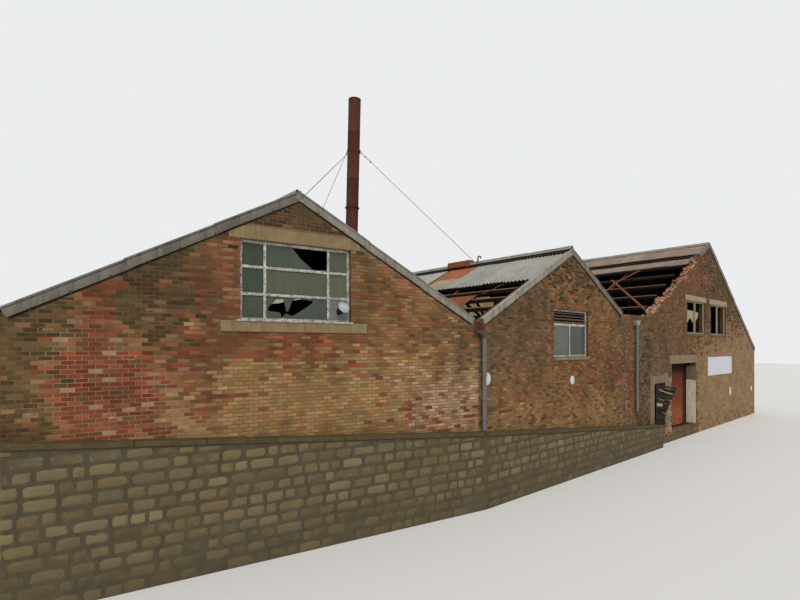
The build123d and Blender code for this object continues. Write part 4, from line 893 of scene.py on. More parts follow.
slab_parts = []
for face, length, top, mitre in ((left_front, left_length, ledge_on_left, 1.0),
                                 (long_front, base_length, ledge_height, -1.0)):
    joints = np.concatenate([[0.0], np.cumsum(stones.uniform(1.2, 1.6, 12))])
    joints = np.append(joints[joints < length - 0.5], length)
    low, high = joints[:-1].copy(), joints[1:] - 0.008
    tilt = stones.uniform(-0.004, 0.004, (len(low), 2))
    outer_low = low.copy()
    outer_low[0] = ledge_reach * tan(skew / 2) * mitre
    reach = ledge_reach + stones.uniform(-0.006, 0.0, len(low))
    corners = []
    for drop in (0.09, 0.0):
        for u, out, side in ((low, 0.0, 0), (high, 0.0, 1), (high, reach, 1), (outer_low, reach, 0)):
            corners.append(on_wall(face, u, top(u) - drop + tilt[:, side], out))
    slab_parts.append(hexahedra(np.stack(corners, 1)))
ledge_concrete = weathered("ledge_concrete", (86, 75, 51), (68, 60, 40), (54, 48, 33),
                           (112, 102, 76), 0.9, (0.6, 0.4, 0.5), relief=0.008)


def wear_edges(cast, width):
    """Rounds the edges of a cast piece over a width."""
    worn_edge = cast.modifiers.new("worn_edge", "BEVEL")
    worn_edge.width, worn_edge.segments = width, 3


wear_edges(hang("base_ledge_slabs", slab_parts, ledge_concrete, ["base_ledge"]), 0.014)

# Lintels and sills are concrete cast in place, rough from their boards and worn at the edges. The
# left window has a thin painted board between its frame and the sill.
lintels = [(left_front, (3.59, 6.54, 6.552, 6.828, -0.335, 0.006)),
           (long_front, (15.66, 18.72, 6.622, 6.898, -0.445, 0.008)),
           (long_front, (19.22, 22.28, 6.622, 6.898, -0.445, 0.010)),
           (long_front, (13.67, 17.38, 3.552, 3.948, -0.445, 0.012))]
sills = [(left_front, (3.42, 6.71, 4.642, 4.872, -0.335, 0.04)),
         (long_front, (3.83, 6.11, 3.892, 3.995, 0.0, 0.04)),
         (long_front, (15.89, 18.49, 4.892, 4.998, -0.445, 0.04)),
         (long_front, (19.45, 22.05, 4.892, 4.998, -0.445, 0.04))]
lintel_concrete = weathered("lintel_concrete", (136, 117, 87), (114, 98, 72), (88, 76, 56),
                            (156, 140, 110), 0.5, (0.6, 0.4, 0.4), relief=0.006)
pale_concrete = weathered("pale_concrete", (160, 138, 112), (140, 114, 90), (104, 86, 66),
                          (178, 162, 138), 0.5, (0.6, 0.4, 0.4), relief=0.008)
dark_concrete = weathered("dark_concrete", (106, 91, 72), (90, 77, 60), (68, 58, 46),
                          (130, 116, 96), 0.5, (0.6, 0.4, 0.4), relief=0.006)
for name, made_of, node, width, coats in (
        ("left_lintel", lintels[:1], "concrete_lintels", 0.012, lintel_concrete),
        ("right_lintels", lintels[1:3], "concrete_lintels", 0.016, pale_concrete),
        ("door_lintel", lintels[3:], "concrete_lintels", 0.016, lintel_concrete),
        ("left_sills", sills[:2], "concrete_sills", 0.010, lintel_concrete),
        ("right_sills", sills[2:], "concrete_sills", 0.010, dark_concrete)):
    wear_edges(hang(name, [boxes(face, row) for face, row in made_of], coats, [node]), width)

# The left window is a steel frame of T bars under flaking white paint. The bars have rusted and
# bowed a little, and their putty stands up along the panes.
rot = np.random.default_rng(61)


def bar_run(face, start, end, width, profile, out, stray=0.0016):
    """A bar between two points of a front: its profile, as wide as given, carried along with a small sway."""
    start_point, end_point = on_wall(face, *start, out), on_wall(face, *end, out)
    length = np.linalg.norm(end_point - start_point)
    run = (end_point - start_point) / length
    count = max(int(length / 0.11), 2)
    share = np.linspace(0, 1, count)[:, None]
    side = np.cross(face[2], run)
    stations = (start_point + (end_point - start_point) * share
                + rot.normal(0, stray, (count, 1)) * side + rot.normal(0, stray, (count, 1)) * face[2])
    shape = np.asarray(profile, float) * np.array([width, 1.0])
    return sweep(shape, stations, side, face[2], rot.normal(1, 0.035, count))


tee = [(-0.5, -0.004), (-0.36, 0.0), (0.36, 0.0), (0.5, -0.004), (0.5, -0.014), (0.2, -0.022), (0.16, -0.056),
       (-0.16, -0.056), (-0.2, -0.022), (-0.5, -0.014)]
flat = [(-0.5, -0.006), (-0.42, 0.0), (0.42, 0.0), (0.5, -0.006), (0.5, -0.056), (-0.5, -0.056)]
frame_parts = [bar_run(left_front, (u, 4.885), (u, 6.545), width, shape, -0.088)
               for u, width, shape in ((3.85, 0.058, flat), (4.345, 0.056, tee), (5.785, 0.058, tee),
                                       (6.28, 0.058, flat))]
frame_parts += [bar_run(left_front, (3.822, z), (6.308, z + tip), width, shape, -0.084, 0.0022)
                for z, tip, width, shape in ((4.912, 0.0, 0.055, flat), (5.43, 0.002, 0.058, tee),
                                             (6.0, -0.002, 0.06, tee), (6.518, 0.0, 0.058, flat))]
sill_board = [(-0.5, -0.11), (0.4, -0.11), (0.5, 0.04), (0.5, 0.062), (-0.3, 0.068), (-0.5, 0.06)]
frame_parts.append(bar_run(left_front, (3.79, 4.874), (6.40, 4.876), 0.038, sill_board, 0.0, 0.003))
flaking_paint, place, shader = finish_of("flaking_white_paint")
bare = place.noise(24, 8, 0.8).above(0.53, 0.05)
edge_rust = place.noise(7, 6, 0.72).above(0.53, 0.06)
yellowed = place.noise(3.0, 4).above(0.5, 0.2)
cracks = place.noise(80, 4, 0.7)
colour = (yellowed * 0.6).mix(tone(196, 194, 186), tone(150, 146, 134))
colour = (edge_rust * 0.6).mix(colour, tone(112, 102, 88))
colour = (bare * 0.75).mix(colour, tone(92, 82, 68)).tint(cracks * 0.35 + 0.82)
coat(shader, colour, bare * 0.3 + 0.55, (bare * -0.6 + cracks * 0.4).bump(0.003, 0.9), gloss=0.25)
hang("left_window_bars", frame_parts, flaking_paint, ["left_window_frame"])

# Its panes are obscured glass, greenish and dulled by dirt. Two in the middle column are broken, and
# pale shards hang at the top of the lower hole.
def slab(face, outline, holes, out, thickness):
    """A flat pane: its outline and holes filled with triangles on both faces, and closed all round."""
    loops = [np.asarray(loop, float) for loop in [outline] + list(holes)]
    flat_points = np.concatenate(loops)
    triangles = np.array(tessellate_polygon([[Vector((u, v, 0)) for u, v in loop] for loop in loops]))
    a, b, c = (flat_points[triangles[:, i]] for i in range(3))
    area = (b[:, 0] - a[:, 0]) * (c[:, 1] - a[:, 1]) - (b[:, 1] - a[:, 1]) * (c[:, 0] - a[:, 0])
    triangles = triangles[np.abs(area) > 1e-9]
    area = area[np.abs(area) > 1e-9]
    triangles = np.where((area > 0)[:, None], triangles, triangles[:, ::-1])
    total = len(flat_points)
    walls, first = [], 0
    for number, loop in enumerate(loops):
        x, y = loop.T
        turn = np.sum(x * np.roll(y, -1) - y * np.roll(x, -1)) > 0
        k = first + np.arange(len(loop))
        after = first + (np.arange(len(loop)) + 1) % len(loop)
        wall = np.stack([after, k, k + total, after + total], -1)
        walls.append(wall if turn == (number == 0) else wall[:, ::-1])
        first += len(loop)
    walls = np.concatenate(walls)
    back = triangles[:, ::-1] + total
    if mirrored(face):
        triangles, back, walls = triangles[:, ::-1], back[:, ::-1], walls[:, ::-1]
    points = np.concatenate([on_wall(face, flat_points[:, 0], flat_points[:, 1], out),
                             on_wall(face, flat_points[:, 0], flat_points[:, 1], out - thickness)])
    return points, triangles, back, walls


def in_light(light, shares):
    """Points of a light from shares of its width and height."""
    left, right, low, high = light
    return [(left + u * (right - left), low + v * (high - low)) for u, v in shares]


whole = [(0, 0), (1, 0), (1, 1), (0, 1)]
top_pane = [(0, 0), (1, 0), (1, 1), (0.585, 1), (0.52, 0.76), (0.495, 0.70), (0.46, 0.54), (0.39, 0.385),
            (0.36, 0.33), (0.305, 0.19), (0.245, 0.06), (0.17, 0.035), (0.12, 0.05), (0.085, 0.09),
            (0.04, 0.07), (0, 0.10)]
lower_break = [(0.97, 0.38), (0.945, 0.57), (0.90, 0.66), (0.79, 0.69), (0.71, 0.77), (0.69, 0.51), (0.682, 0.37),
               (0.65, 0.32), (0.617, 0.57), (0.583, 0.85), (0.44, 0.93), (0.237, 0.88), (0.264, 0.745), (0.32, 0.63),
               (0.386, 0.49), (0.508, 0.27), (0.576, 0.15), (0.63, 0.19), (0.68, 0.25), (0.725, 0.14), (0.752, 0.05),
               (0.772, 0.27), (0.847, 0.31), (0.928, 0.32)]
columns = [(3.874, 4.322), (4.368, 5.762), (5.808, 6.256)]
rows = [(4.936, 5.407), (5.453, 5.977), (6.023, 6.494)]
pane_parts, pane_shades = [], []


def add_pane(face, light, outline, holes, out, shade, thickness=0.006):
    """Adds a pane to the glass, with its own shade."""
    pane_parts.append(slab(face, in_light(light, outline), [in_light(light, hole) for hole in holes], out, thickness))
    pane_shades.append(np.tile(tone(*shade), (len(pane_parts[-1][0]), 1)))


shades = [[None, (84, 86, 66), (68, 74, 64)], [(60, 67, 60), (74, 78, 60), (56, 68, 60)],
          [(50, 62, 50), (40, 56, 46), (30, 48, 38)]]
for i, column in enumerate(columns):
    for j, row in enumerate(rows):
        if (i, j) != (0, 0):
            outline = top_pane if (i, j) == (1, 2) else whole
            add_pane(left_front, column + row, outline, [lower_break] if (i, j) == (1, 0) else [],
                     -0.113 - 0.003 * ((i + j) % 2), shades[i][j])
shard_light = columns[1] + rows[0]
for shard in ([(0.90, 0.67), (0.85, 0.86), (0.74, 0.91), (0.72, 0.78), (0.80, 0.70)],
              [(0.57, 0.86), (0.55, 0.93), (0.45, 0.985), (0.44, 0.94)]):
    add_pane(left_front, shard_light, shard, [], -0.098, (158, 156, 130))
for left, right, shade in ((3.886, 4.949, (84, 88, 82)), (4.991, 6.054, (58, 64, 58))):
    add_pane(long_front, (left, right, 4.056, 5.044), whole, [], -0.113, shade)
for centre in (-4.986, 5.0, 19.2):
    for i in range(3):
        left = centre - 1.14 + i * 0.7767
        add_pane(long_front, (left, left + 0.7267, 4.96, 6.44), whole, [], -15.875, (92, 98, 92))
obscured_glass, place, shader = finish_of("obscured_glass")
own = place.own_colour()
dirt = place.noise(2.4, 6, 0.65).above(0.5, 0.2)
runs_down = place.scaled(9, 9, 0.8).noise(1.2, 5).above(0.56, 0.1)
ripple = place.noise(55, 2, 0.5)
colour = (dirt * 0.25).mix(own, tone(88, 88, 66))
colour = (runs_down * 0.25).mix(colour, tone(48, 52, 40))
coat(shader, colour, dirt * 0.25 + 0.3, ripple.bump(0.0008, 0.5), gloss=0.35)
hang("window_panes", pane_parts, obscured_glass, ["window_glass"], np.concatenate(pane_shades))
recoat(["back_window_frames"], flaking_paint)

# A zinc plate fills the lowest near light of the left window. A round duct, sooty and painted dark
# for the shade it stands in, leans up out of it, and three small brackets hold a dished white cowl
# before its mouth.
def ring(radius, count=24):
    """A circle of points, turning left: the radius times cosine and sine over even steps of a turn."""
    turn = np.linspace(0, 2 * np.pi, count, endpoint=False)
    return np.stack([radius * np.cos(turn), radius * np.sin(turn)], -1)


def turned(face, centre, stations, count=28):
    """A turned piece standing out of a front: circles given by distance out and radius."""
    out, radius = np.asarray(stations, float).T
    places = on_wall(face, centre[0], centre[1], out)
    return sweep(ring(1.0, count), places, face[1], z_way, radius)


duct_foot = (4.075, 5.128)
duct_root = on_wall(left_front, *duct_foot, -0.108)
duct_axis = left_front[2] * 0.88 - left_front[1] * 0.14 + np.array([0, 0, 0.454])
duct_axis /= np.linalg.norm(duct_axis)
duct_across = np.cross(duct_axis, z_way) / np.linalg.norm(duct_axis[:2])
duct_rise = np.cross(duct_across, duct_axis)


def on_duct(stations, count=28):
    """A turned piece on the leaning duct: circles given by distance along it and radius."""
    run, radius = np.asarray(stations, float).T
    return sweep(ring(1.0, count), duct_root + run[:, None] * duct_axis, duct_across, duct_rise, radius)


duct_parts = [on_duct([(-0.012, 0.070), (0.012, 0.070), (0.165, 0.068), (0.165, 0.060), (0.09, 0.058)])]
for turn in (90, 210, 330):
    outwards = duct_across * cos(radians(turn)) + duct_rise * sin(radians(turn))
    foot = duct_root + np.array([(0.11, 0.070), (0.16, 0.072), (0.222, 0.098)]) @ np.stack([duct_axis, outwards])
    duct_parts.append(sweep([(-0.012, -0.003), (0.012, -0.003), (0.012, 0.003), (-0.012, 0.003)], foot,
                            np.cross(duct_axis, outwards), outwards))
# The duct's dark coat is soot and painted shade together.
sooty_shaded_duct = weathered("sooty_shaded_duct", (40, 37, 31), (30, 27, 23), (22, 20, 18), (58, 52, 43),
                       0.3, (0.6, 0.4, 0.4), 0.7, 0.002)
hang("vent_duct", duct_parts, sooty_shaded_duct, ["window_vent"])
vent_parts = [slab(left_front, in_light(columns[0] + rows[0], whole), [], -0.108, 0.008),
              turned(left_front, duct_foot, [(-0.107, 0.106), (-0.102, 0.106), (-0.100, 0.092), (-0.100, 0.05)])]
for u, z in ((3.893, 4.955), (4.303, 4.955), (3.893, 5.388), (4.303, 5.388)):
    vent_parts.append(turned(left_front, (u, z), [(-0.109, 0.011), (-0.103, 0.010), (-0.101, 0.004)], 8))
zinc = weathered("zinc_plate", (116, 120, 118), (100, 106, 104), (84, 84, 78), (134, 138, 134),
                 0.3, (0.6, 0.4, 0.3), 0.55, 0.001)
hang("vent_plate", vent_parts, zinc, ["window_vent"])
cowl_parts = [on_duct([
    (0.204, 0.128), (0.210, 0.134), (0.220, 0.136), (0.236, 0.132), (0.241, 0.122), (0.238, 0.112), (0.224, 0.104),
    (0.222, 0.094), (0.232, 0.084), (0.246, 0.078), (0.253, 0.062), (0.256, 0.030), (0.256, 0.004)], 40)]
cowl_white = weathered("cowl_enamel", (176, 180, 180), (158, 162, 160), (132, 132, 124),
                       (196, 200, 200), 0.2, (0.5, 0.4, 0.3), 0.45, 0.001)
hang("vent_cowl", cowl_parts, cowl_white, ["window_vent"])

# The middle window has a painted frame of two lights. Over its rail, four slats of a louvre hang in
# their opening, brown with damp.
middle_parts = [bar_run(long_front, (x, 4.005), (x, 5.575), 0.058, flat, -0.088) for x in (3.86, 6.08)]
middle_parts += [bar_run(long_front, (4.97, 4.05), (4.97, 5.06), 0.066, tee, -0.084)]
middle_parts += [bar_run(long_front, (3.832, z), (6.108, z), width, flat, -0.086)
                 for z, width in ((4.031, 0.058), (5.08, 0.084), (5.548, 0.06))]
hang("middle_window_bars", middle_parts, flaking_paint, ["middle_window_frame"])
old_wood = weathered("old_wood", (104, 84, 66), (84, 68, 54), (62, 52, 42), (134, 118, 98),
                     0.35, (0.6, 0.5, 0.4), relief=0.004)
slats = []
slat = [(-0.045, -0.008), (0.045, -0.008), (0.045, 0.007), (-0.045, 0.007)]
for i in range(4):
    level = 5.17 + i * 0.1
    tilt = radians(40 + rot.uniform(-4, 4))
    lie = np.array([0, -cos(tilt), -sin(tilt)])
    stations = [(x, 0.12, level + rot.normal(0, 0.003)) for x in np.linspace(3.885, 6.055, 7)]
    slats.append(sweep(slat, stations, lie, np.cross(x_way, lie)))
hang("louvre_slats", slats, old_wood, ["window_louvre"])

# The two upper windows of the right front are empty frames, grey where the paint has gone, with a
# broad post in the middle of each. A torn board hangs behind the first.
upper_parts = []
for x in (15.89, 19.45):
    upper_parts += [bar_run(long_front, (x + u, 5.004), (x + u, 6.616), width, shape, -0.058)
                    for u, width, shape in ((0.03, 0.058, flat), (1.3, 0.116, flat), (2.57, 0.058, flat))]
    upper_parts += [bar_run(long_front, (x + 0.002, z), (x + 2.598, z), 0.058, flat, -0.056) for z in (5.031, 6.589)]
bare_frame = weathered("bare_grey_frame", (150, 142, 124), (126, 116, 98), (96, 84, 68),
                       (176, 170, 154), 0.3, (0.6, 0.5, 0.5), relief=0.003)
hang("right_window_bars", upper_parts, bare_frame, ["right_window_frames"])
board_edge = [(15.905, 6.18), (16.5, 6.165), (17.24, 6.14), (17.86, 6.10), (17.80, 5.86), (17.5, 5.66),
              (17.2, 5.70), (17.01, 5.56), (16.93, 5.66), (16.65, 5.80), (16.55, 5.74), (16.31, 5.53),
              (16.2, 5.57), (15.92, 5.64)]
hung_board = weathered("hung_board", (158, 150, 120), (138, 130, 102), (112, 102, 80),
                       (176, 170, 146), 0.5, (0.6, 0.4, 0.3), relief=0.002)
hang("torn_board", [slab(long_front, board_edge, [], -0.121, 0.013)], hung_board, ["hanging_board"])

# The doorway's roller shutter is a curtain of curved steel laths, hooked to each other and red
# with rust. It runs in two channels bolted to the inner face of the wall.
def closed_sheet(front, back):
    """Points and faces of a solid between two grids of the same size, closed around its four edges."""
    across, along = front.shape[:2]
    grid = np.arange(across * along).reshape(across, along)
    total = across * along
    quads = np.stack([grid[:-1, :-1], grid[1:, :-1], grid[1:, 1:], grid[:-1, 1:]], -1).reshape(-1, 4)
    rim = np.concatenate([grid[0, :], grid[1:, -1], grid[-1, -2::-1], grid[-2:0:-1, 0]])
    after = np.roll(rim, -1)
    walls = np.stack([rim, after, after + total, rim + total], -1)
    faces = np.concatenate([quads, quads[:, ::-1] + total, walls])
    a, b, c = front[0, 0], front[1, 0], front[0, 1]
    if np.cross(b - a, c - a) @ (front[0, 0] - back[0, 0]) < 0:
        faces = faces[:, ::-1]
    return np.concatenate([front.reshape(-1, 3), back.reshape(-1, 3)]), faces


lath, laths = 0.075, 46
z = np.concatenate([0.503 + i * lath + np.array([0.0, 0.004, 0.010, 0.024, 0.040, 0.056, 0.066, 0.071])
                    for i in range(laths)])
phase = np.tile(np.array([-0.007, -0.007, 0.002, 0.0075, 0.0095, 0.0075, 0.002, -0.007]), laths)
x = np.linspace(13.84, 17.212, 15)
grid_x, grid_z = np.meshgrid(x, z, indexing="ij")
dent = -0.012 * np.exp(-((grid_x - 16.1) / 0.5) ** 2 - ((grid_z - 1.35) / 0.3) ** 2)
curtain = on_wall(long_front, grid_x, grid_z, -0.479 + phase[None, :] + dent)
shutter_rust, place, shader = finish_of("shutter_rust")
height = place.axis(2)
salmon = (1.0 - height * 0.42).above(0.42, 0.2) * place.noise(2.4, 5, 0.7).above(0.42, 0.2)
# The laths darken towards the top: painted shadow of the lintel.
painted_lintel_shadow = (height * 0.3).above(0.84, 0.16)
mottle = place.noise(7, 7, 0.72)
drips = place.scaled(14, 14, 1.2).noise(1.2, 5, 0.7).above(0.55, 0.1)
fine = place.noise(120, 3, 0.7)
colour = mottle.above(0.52, 0.12).mix(tone(116, 58, 33), tone(90, 45, 26))
colour = (salmon * 0.75).mix(colour, tone(158, 90, 60))
colour = (painted_lintel_shadow * 0.7).mix(colour, tone(52, 31, 22))
colour = (drips * 0.4).mix(colour, tone(142, 84, 54)).tint(fine * 0.35 + 0.82)
# Near black just under the lintel and along the right edge by the reveal: painted shadow of the lintel and painted
# shade of the gap.
painted_shadow_under_lintel = (height * 0.3).above(0.93, 0.06)
painted_edge_shade = place.axis(0).above(16.7, 0.12)
colour = (painted_shadow_under_lintel * 0.85).mix(colour, tone(14, 11, 8))
colour = (painted_edge_shade * 0.85).mix(colour, tone(34, 25, 17))
coat(shader, colour, mottle * 0.2 + 0.7, (mottle * 0.6 + fine * 0.4).bump(0.0016, 0.8))
hang("shutter_laths", [closed_sheet(curtain, curtain + 0.004 * y_way)], shutter_rust,
     ["roller_shutter"])
rusty_steel = weathered("rusty_steel", (112, 68, 50), (88, 54, 42), (66, 44, 36), (142, 88, 60),
                        0.4, (0.6, 0.4, 0.5), 0.82, 0.003)
channel_parts = []
near, far = 0.015, 0.085
for edge, side in ((doorway[0], -1.0), (doorway[1], 1.0)):
    profile = [(near, 0.45), (far, 0.45), (far, 0.54), (near, 0.54), (near, 0.534), (far - 0.006, 0.534),
               (far - 0.006, 0.456), (near, 0.456)]
    stations = [(edge, 0, 0.502), (edge, 0, 2.2), (edge, 0, 3.948)]
    channel_parts.append(sweep(profile, stations, (side, 0, 0), y_way))
    for level in np.arange(0.8, 3.9, 0.5):
        head = np.array([(edge + side * 0.05, 0.541, level), (edge + side * 0.05, 0.548, level)])
        channel_parts.append(sweep(ring(0.013, 6), head, x_way, z_way))
hang("shutter_channels", channel_parts, rusty_steel, ["shutter_guides"])

# The doorway's reveals have been rendered and limewashed to shoulder height. The coat is a thin
# skin on the brick, broken off in a ragged line at its top, and older grey render shows above it.
def ragged(points, seed, size=0.02, cut=0.12):
    """An outline with its edges divided and pushed about, so that they look broken."""
    stray = np.random.default_rng(seed)
    outline = []
    for a, b in zip(points, points[1:] + points[:1]):
        a, b = np.array(a, float), np.array(b, float)
        count = max(int(np.hypot(*(b - a)) / cut), 1)
        number = np.arange(count)[:, None]
        share = (number + stray.uniform(-0.25, 0.25, (count, 1)) * (number > 0)) / count
        outline.append(a + (b - a) * share + stray.normal(0, size, (count, 2)) * (number > 0))
    return np.concatenate(outline)


right_reveal = (doorway[1] * x_way, y_way, -x_way)
left_reveal = (doorway[0] * x_way, y_way, x_way)
limewash = weathered("limewash", (212, 203, 184), (194, 182, 158), (164, 150, 126), (160, 124, 96),
                     0.5, (0.5, 0.5, 0.5), relief=0.004)
broken_top = [(0.004, 0.502), (0.446, 0.502), (0.446, 2.66), (0.34, 2.70), (0.22, 2.655), (0.12, 2.68), (0.004, 2.62)]
limewash_parts = [slab(right_reveal, broken_top, [], 0.007, 0.009), slab(left_reveal, broken_top, [], 0.006, 0.008)]
hang("reveal_limewash", limewash_parts, limewash)
soiled_render = weathered("soiled_render", (134, 118, 98), (112, 97, 79), (84, 70, 55), (150, 130, 108),
                          0.5, (0.5, 0.5, 0.5), relief=0.004)
upper_edge = [(0.004, 2.56), (0.446, 2.56), (0.446, 3.40), (0.33, 3.36), (0.2, 3.42), (0.09, 3.33), (0.004, 3.38)]
hang("reveal_render", [slab(side, upper_edge, [], 0.004, 0.006) for side in (right_reveal, left_reveal)],
     soiled_render)

# The low hatch has a rendered surround on the brickwork, chipped at its edges, which stands on
# the ledge.
outline = [(11.48, ledge_height(11.48)), (11.9, ledge_height(11.9)), (11.9, 2.74), (13.1, 2.74), (13.1, 0.962),
           (13.4, 0.962), (13.4, 3.07), (11.48, 3.07)]
chipped = ragged(outline, 12, 0.006, 0.09)
chipped[:, 0] = np.clip(chipped[:, 0], 11.48, 13.4)
grey_render = weathered("grey_render", (130, 114, 94), (108, 94, 76), (86, 73, 57), (146, 112, 90),
                        0.5, (0.6, 0.45, 0.5), relief=0.006)
hang("hatch_render", [slab(long_front, chipped, [], 0.021, 0.021)], grey_render, ["hatch_surround"])

# The hatch's leaf is a ledged frame with louvre slats, black with rot. It hangs outwards on two
# straps, its slats have slipped, a few torn ones have bleached, and the lower corner is gone.
swing = radians(24)
leaf_face = (np.array([11.9, -0.06, 0]), np.array([cos(swing), -sin(swing), 0]),
             np.array([-sin(swing), -cos(swing), 0]))
torn_edge = np.array([(1.0, 0.52), (1.6, 0.58), (2.05, 0.82), (2.45, 1.03), (2.56, 1.09)])


def leaf_run(start, end, width, thick, out, sag=0.0, tilt=0.0, count=6):
    """A board of the leaf, carried from one point of its plane to another along a sagging parabola."""
    share = np.linspace(0, 1, count)
    u = start[0] + (end[0] - start[0]) * share
    z = start[1] + (end[1] - start[1]) * share - sag * 4 * share * (1 - share)
    stations = on_wall(leaf_face, u, z, out + rot.normal(0, 0.001, count))
    run = stations[-1] - stations[0]
    across = np.cross(leaf_face[2], run / np.linalg.norm(run))
    lean = across * cos(tilt) + leaf_face[2] * sin(tilt)
    stand = np.cross(run / np.linalg.norm(run), lean)
    shape = np.array([(-0.5, -0.5), (0.42, -0.5), (0.5, -0.3), (0.5, 0.5), (-0.42, 0.5), (-0.5, 0.3)])
    return sweep(shape * (width, thick), stations, lean, stand)


leaf_parts = [leaf_run(*rail) for rail in (
    ((0.045, 1.005), (0.045, 2.70), 0.088, 0.038, 0.02), ((0.0, 2.69), (1.12, 2.50), 0.082, 0.038, 0.02),
    ((1.07, 2.50), (0.80, 2.04), 0.07, 0.036, 0.021), ((0.78, 1.98), (0.57, 1.56), 0.06, 0.032, 0.021),
    ((0.06, 1.90), (0.70, 1.80), 0.07, 0.034, 0.017))]
leaf_tints = [np.ones((len(part[0]), 4)) for part in leaf_parts]
leaf_slats = 15
for i in range(leaf_slats):
    level = 1.05 + i * 0.107
    slope = -0.16 - 0.2 * (1 - i / (leaf_slats - 1)) + rot.uniform(-0.04, 0.04)
    end = np.interp(level + slope * 0.6, torn_edge[:, 0], torn_edge[:, 1]) - rot.uniform(0.0, 0.04)
    foot = max(level + slope * end, 1.01)
    leaf_parts.append(leaf_run((0.075, level), (end, foot), 0.122, 0.011, 0.02 + rot.uniform(-0.004, 0.006),
                               rot.uniform(0.0, 0.02), radians(20 + rot.uniform(-16, 14))))
    # Each slat is painted lighter on its face and dark along its edges: painted light and shade for the tilted,
    # lapping louvre.
    lit_face, shaded_edge = rot.uniform(1.2, 2.6), 0.3
    light_across_slat = np.array([shaded_edge, lit_face, lit_face, lit_face, shaded_edge, shaded_edge])
    slat_tint = np.ones((len(leaf_parts[-1][0]), 4))
    slat_tint[:, :3] = np.resize(light_across_slat, len(slat_tint))[:, None]
    leaf_tints.append(slat_tint)
rotten_wood = weathered("rotten_wood", (46, 42, 36), (34, 31, 27), (26, 24, 20), (104, 98, 86),
                        0.25, (0.6, 0.4, 0.55), relief=0.004, tinted=True)
hang("leaf_boards", leaf_parts, rotten_wood, ["broken_leaf"], np.concatenate(leaf_tints))
torn_slats = [leaf_run(start, end, width, 0.012, 0.052, 0.02) for start, end, width in (
    ((0.13, 2.50), (0.88, 2.27), 0.05), ((0.10, 2.12), (0.42, 2.02), 0.022), ((0.30, 1.52), (0.55, 1.44), 0.02))]
hang("leaf_torn_slats", torn_slats, bare_frame)
strap_parts = []
for level in (1.25, 2.40):
    strap_parts.append(boxes(long_front, (11.782, 11.898, level, level + 0.06, 0.0205, 0.032)))
    strap_parts.append(sweep(ring(0.013, 10), [(11.9, -0.047, level - 0.01), (11.9, -0.047, level + 0.07)],
                             x_way, y_way))
    strap_parts.append(boxes(leaf_face, (0.005, 0.30, level + 0.008, level + 0.052, 0.039, 0.045)))
    for u in (11.80, 11.85):
        strap_parts.append(turned(long_front, (u, level + 0.03), [(0.031, 0.010), (0.036, 0.009), (0.038, 0.004)], 8))
hang("leaf_straps", strap_parts, black_iron, ["broken_leaf"])
scrap_edge = ragged([(0.02, 1.79), (0.30, 1.74), (0.34, 1.86), (0.02, 1.93)], 5, 0.006, 0.07)
hang("leaf_scrap", [slab(leaf_face, scrap_edge, [], 0.052, 0.004)], hung_board)

# A blank board of painted sheet is screwed to the right gable. It has bowed a little, and its
# paint has chalked.
u, v = np.meshgrid(np.linspace(0, 1, 25), np.linspace(0, 1, 9), indexing="ij")
bow = 0.019 + 0.007 * np.sin(np.pi * u * 1.7 + 0.4) * (v - 0.2) + 0.004 * np.sin(7 * u) * np.sin(np.pi * v)
edge_stray = 0.006 * np.sin(u * 9 + v * 3)
sign_height = 2.812 + 0.984 * v + edge_stray * (v > 0.99) - edge_stray * (v < 0.01)
front = on_wall(long_front, 18.912 + 4.226 * u, sign_height, bow)
sign_parts = [closed_sheet(front, front + 0.006 * y_way)]
sign_parts.append(boxes(long_front, [(18.95, 19.0, 2.82, 3.79, 0.0, 0.013), (21.0, 21.05, 2.82, 3.79, 0.0, 0.013),
                                     (23.05, 23.1, 2.82, 3.79, 0.0, 0.013)]))
for column in (18.975, 21.025, 23.075):
    for level in (2.86, 3.30, 3.75):
        sign_parts.append(turned(long_front, (column, level), [(0.008, 0.012), (0.0245, 0.012), (0.028, 0.006)], 8))
chalky_white = weathered("chalky_white", (196, 198, 202), (186, 190, 194), (170, 170, 166), (156, 150, 138),
                         1.4, (0.5, 0.3, 0.22), 0.5, 0.001)
hang("sign_sheet", sign_parts, chalky_white, ["signboard"])

# Four small oval plates of white enamel are fixed to the middle and right fronts, each by two
# screws. They are bare.
oval_parts = []
for x, z, half, tall in ((0.39, 3.45, 0.14, 0.17), (4.97, 3.21, 0.13, 0.15),
                         (22.89, 1.77, 0.16, 0.25), (27.41, 1.69, 0.15, 0.17)):
    stations = [(x, -0.004, z), (x, -0.018, z), (x, -0.022, z)]
    oval_parts.append(sweep(ring(1.0, 28) * np.array([half, tall]), stations, x_way, z_way, [1, 1, 0.93]))
    for side in (-0.62, 0.62):
        oval_parts.append(turned(long_front, (x, z + side * tall),
                                 [(0.020, 0.010), (0.025, 0.009), (0.027, 0.004)], 8))
hang("oval_plates", oval_parts, chalky_white)

